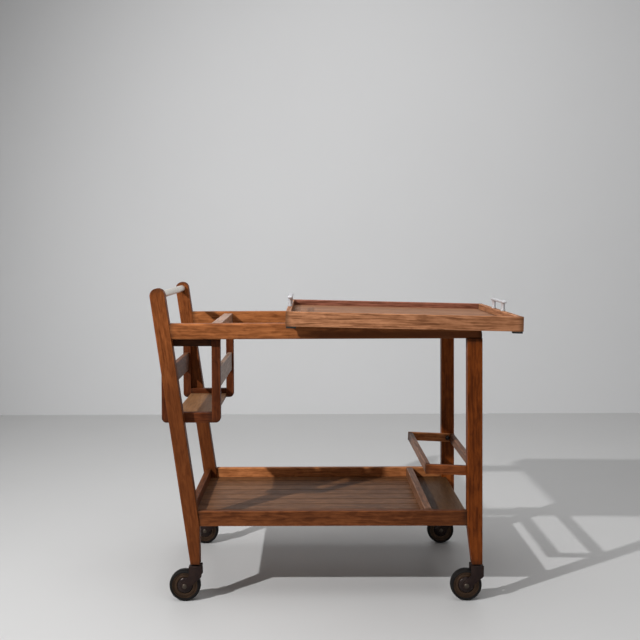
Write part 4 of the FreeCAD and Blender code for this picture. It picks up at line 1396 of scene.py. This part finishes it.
@dataclass
class Collars:
    """The steel collars under the legs' ends that hold the casters' stems."""

    casters: Sequence[Caster]
    bore: float = 0.0044
    flange_radius: float = 0.009
    flange_height: float = 0.003
    flange_section: Profile = ((0.86, 0.0), (1.0, 0.3), (1.0, 0.75))
    flange_top: float = 0.94
    flange_gap: float = 0.0001
    neck_radius: float = 0.006
    neck_height: float = 0.012

    def build(self) -> None:
        """Build the four collars as one piece."""
        seat = self.flange_height - self.flange_gap
        profile = [
            (self.bore, 0.0),
            *scaled(self.flange_section, self.flange_radius, self.flange_height),
            (self.flange_radius * self.flange_top, seat),
            (self.neck_radius, seat),
            (self.neck_radius, self.neck_height),
            (self.bore, self.neck_height),
        ]
        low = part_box("caster_sockets")[0].z
        form = Form()
        for caster in self.casters:
            form.turn(profile, Matrix.Translation((caster.stem.x, caster.stem.y, low)), closed=True)
        piece = form.finish("caster_collars", FORK_METAL.material("collar_steel"))
        fit(piece, "cart_frame", "socket", "caster_sockets")


@dataclass(frozen=True)
class Lamp:
    """A round lamp: where it hangs, the point that it faces, its diameter and its power in watts."""

    name: str
    place: Triple
    aim: Triple
    size: float
    power: float

    def hang(self, light: bpy.types.Light) -> None:
        """Hang the lamp.

        Args:
            light: The lamp's light, of either kind.
        """
        light.energy = self.power
        made = bpy.data.objects.new(self.name, light)
        made.location = self.place
        facing = Vector(self.aim) - Vector(self.place)
        made.rotation_euler = facing.to_track_quat("-Z", "Y").to_euler()
        bpy.context.scene.collection.objects.link(made)

    def hang_broad(self) -> None:
        """Hang the lamp as a broad disk of soft light."""
        light = bpy.data.lights.new(self.name, "AREA")
        light.shape = "DISK"
        light.size = self.size
        self.hang(light)

    def hang_beam(self, spread: float, softness: float) -> None:
        """Hang the lamp as a small one with a beam.

        Args:
            spread: Angle of the beam.
            softness: Share of the beam that its edge takes up.
        """
        light = bpy.data.lights.new(self.name, "SPOT")
        light.shadow_soft_size = self.size / 2
        light.spot_size = spread
        light.spot_blend = softness
        self.hang(light)


@dataclass
class Studio:
    """A pale floor and wall, a key lamp from the front left, soft fill and the camera."""

    floor_half: float = 7.0
    wall_y: float = 2.225
    wall_height: float = 5.0
    key: Lamp = Lamp("key_lamp", (-2.414, -2.178, 2.463), (0.5, 0.6, 0.5), 0.075, 540.0)
    key_spread: float = math.radians(90)
    key_softness: float = 1.0
    ceiling: Lamp = Lamp("ceiling_lamp", (0.15, -0.35, 3.3), (0.15, -0.35, 0.0), 3.2, 60.0)
    front: Lamp = Lamp("front_lamp", (0.4, -3.9, 1.2), (0.2, 1.0, 0.4), 2.4, 8.0)
    fill_strength: float = 0.07
    backdrop: Colour = (0.50, 0.505, 0.505)
    camera_place: Triple = (-0.0598, -2.3584, 0.8528)
    camera_pitch: float = math.radians(1.395)
    camera_yaw: float = math.radians(0.432)
    camera_roll: float = math.radians(0.271)
    lens: float = 50.06
    sensor: float = 36.0
    shift: tuple[float, float] = (0.02705, -0.07676)

    def room(self) -> None:
        """Make the floor and the wall behind the cart."""
        reach = self.floor_half
        back = self.wall_y
        top = self.wall_height
        sheets = {
            "studio_floor": (FLOOR_PAINT, ((-reach, -reach, 0), (reach, -reach, 0))),
            "studio_wall": (WALL_PAINT, ((-reach, back, top), (reach, back, top))),
        }
        for name, (paint, edge) in sheets.items():
            form = Form()
            form.sheet((*edge, (reach, back, 0), (-reach, back, 0)))
            form.finish(name, paint.material(f"{name}_paint"))

    def lamps(self) -> None:
        """Hang the small key lamp and the two broad lamps."""
        self.key.hang_beam(self.key_spread, self.key_softness)
        self.ceiling.hang_broad()
        self.front.hang_broad()

    def world(self) -> None:
        """Fill the room with soft light, and show a pale backdrop to the camera and in reflections."""
        shader = Shader(bpy.data.worlds.new("studio_world"))
        path = shader.node("LightPath")
        shown = shader.out(path, "Is Camera Ray")
        for kind in ("Is Glossy Ray", "Is Transmission Ray"):
            shown = shader.math("MAXIMUM", shown, shader.out(path, kind))
        fill = shader.node("Background", inputs={"Color": WHITE, "Strength": self.fill_strength})
        seen = shader.node("Background", inputs={"Color": self.backdrop})
        mixed = shader.node("MixShader", inputs={0: shown, 1: shader.out(fill), 2: shader.out(seen)})
        shader.node("OutputWorld", inputs={"Surface": shader.out(mixed)})
        bpy.context.scene.world = shader.owner

    def camera(self) -> None:
        """Set up the camera at the photograph's viewing angle."""
        data = bpy.data.cameras.new("camera")
        data.lens = self.lens
        data.sensor_width = self.sensor
        data.shift_x, data.shift_y = self.shift
        made = bpy.data.objects.new("camera", data)
        made.location = self.camera_place
        made.rotation_euler = Euler((math.pi / 2 - self.camera_pitch, self.camera_roll, self.camera_yaw))
        bpy.context.scene.collection.objects.link(made)
        bpy.context.scene.camera = made

    def build(self) -> None:
        """Build the whole studio."""
        bpy.context.scene.view_settings.view_transform = "Standard"
        self.room()
        self.lamps()
        self.world()
        self.camera()


def main() -> None:
    """Build the looks of the cart round its frame."""
    logging.basicConfig(level=logging.INFO, format="%(name)s: %(message)s")
    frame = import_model()
    nodes = frame["nodes"]
    Woodwork(nodes).dress()
    HandleTube(nodes["handle_tube"]).dress()
    ServingTray(nodes).build()
    Screws().build()
    casters = [Caster(f"{side}_{end}") for side in SIDES for end in ENDS]
    for caster in casters:
        caster.build()
    Collars(casters).build()
    Studio().build()


if __name__ == "__main__":
    main()
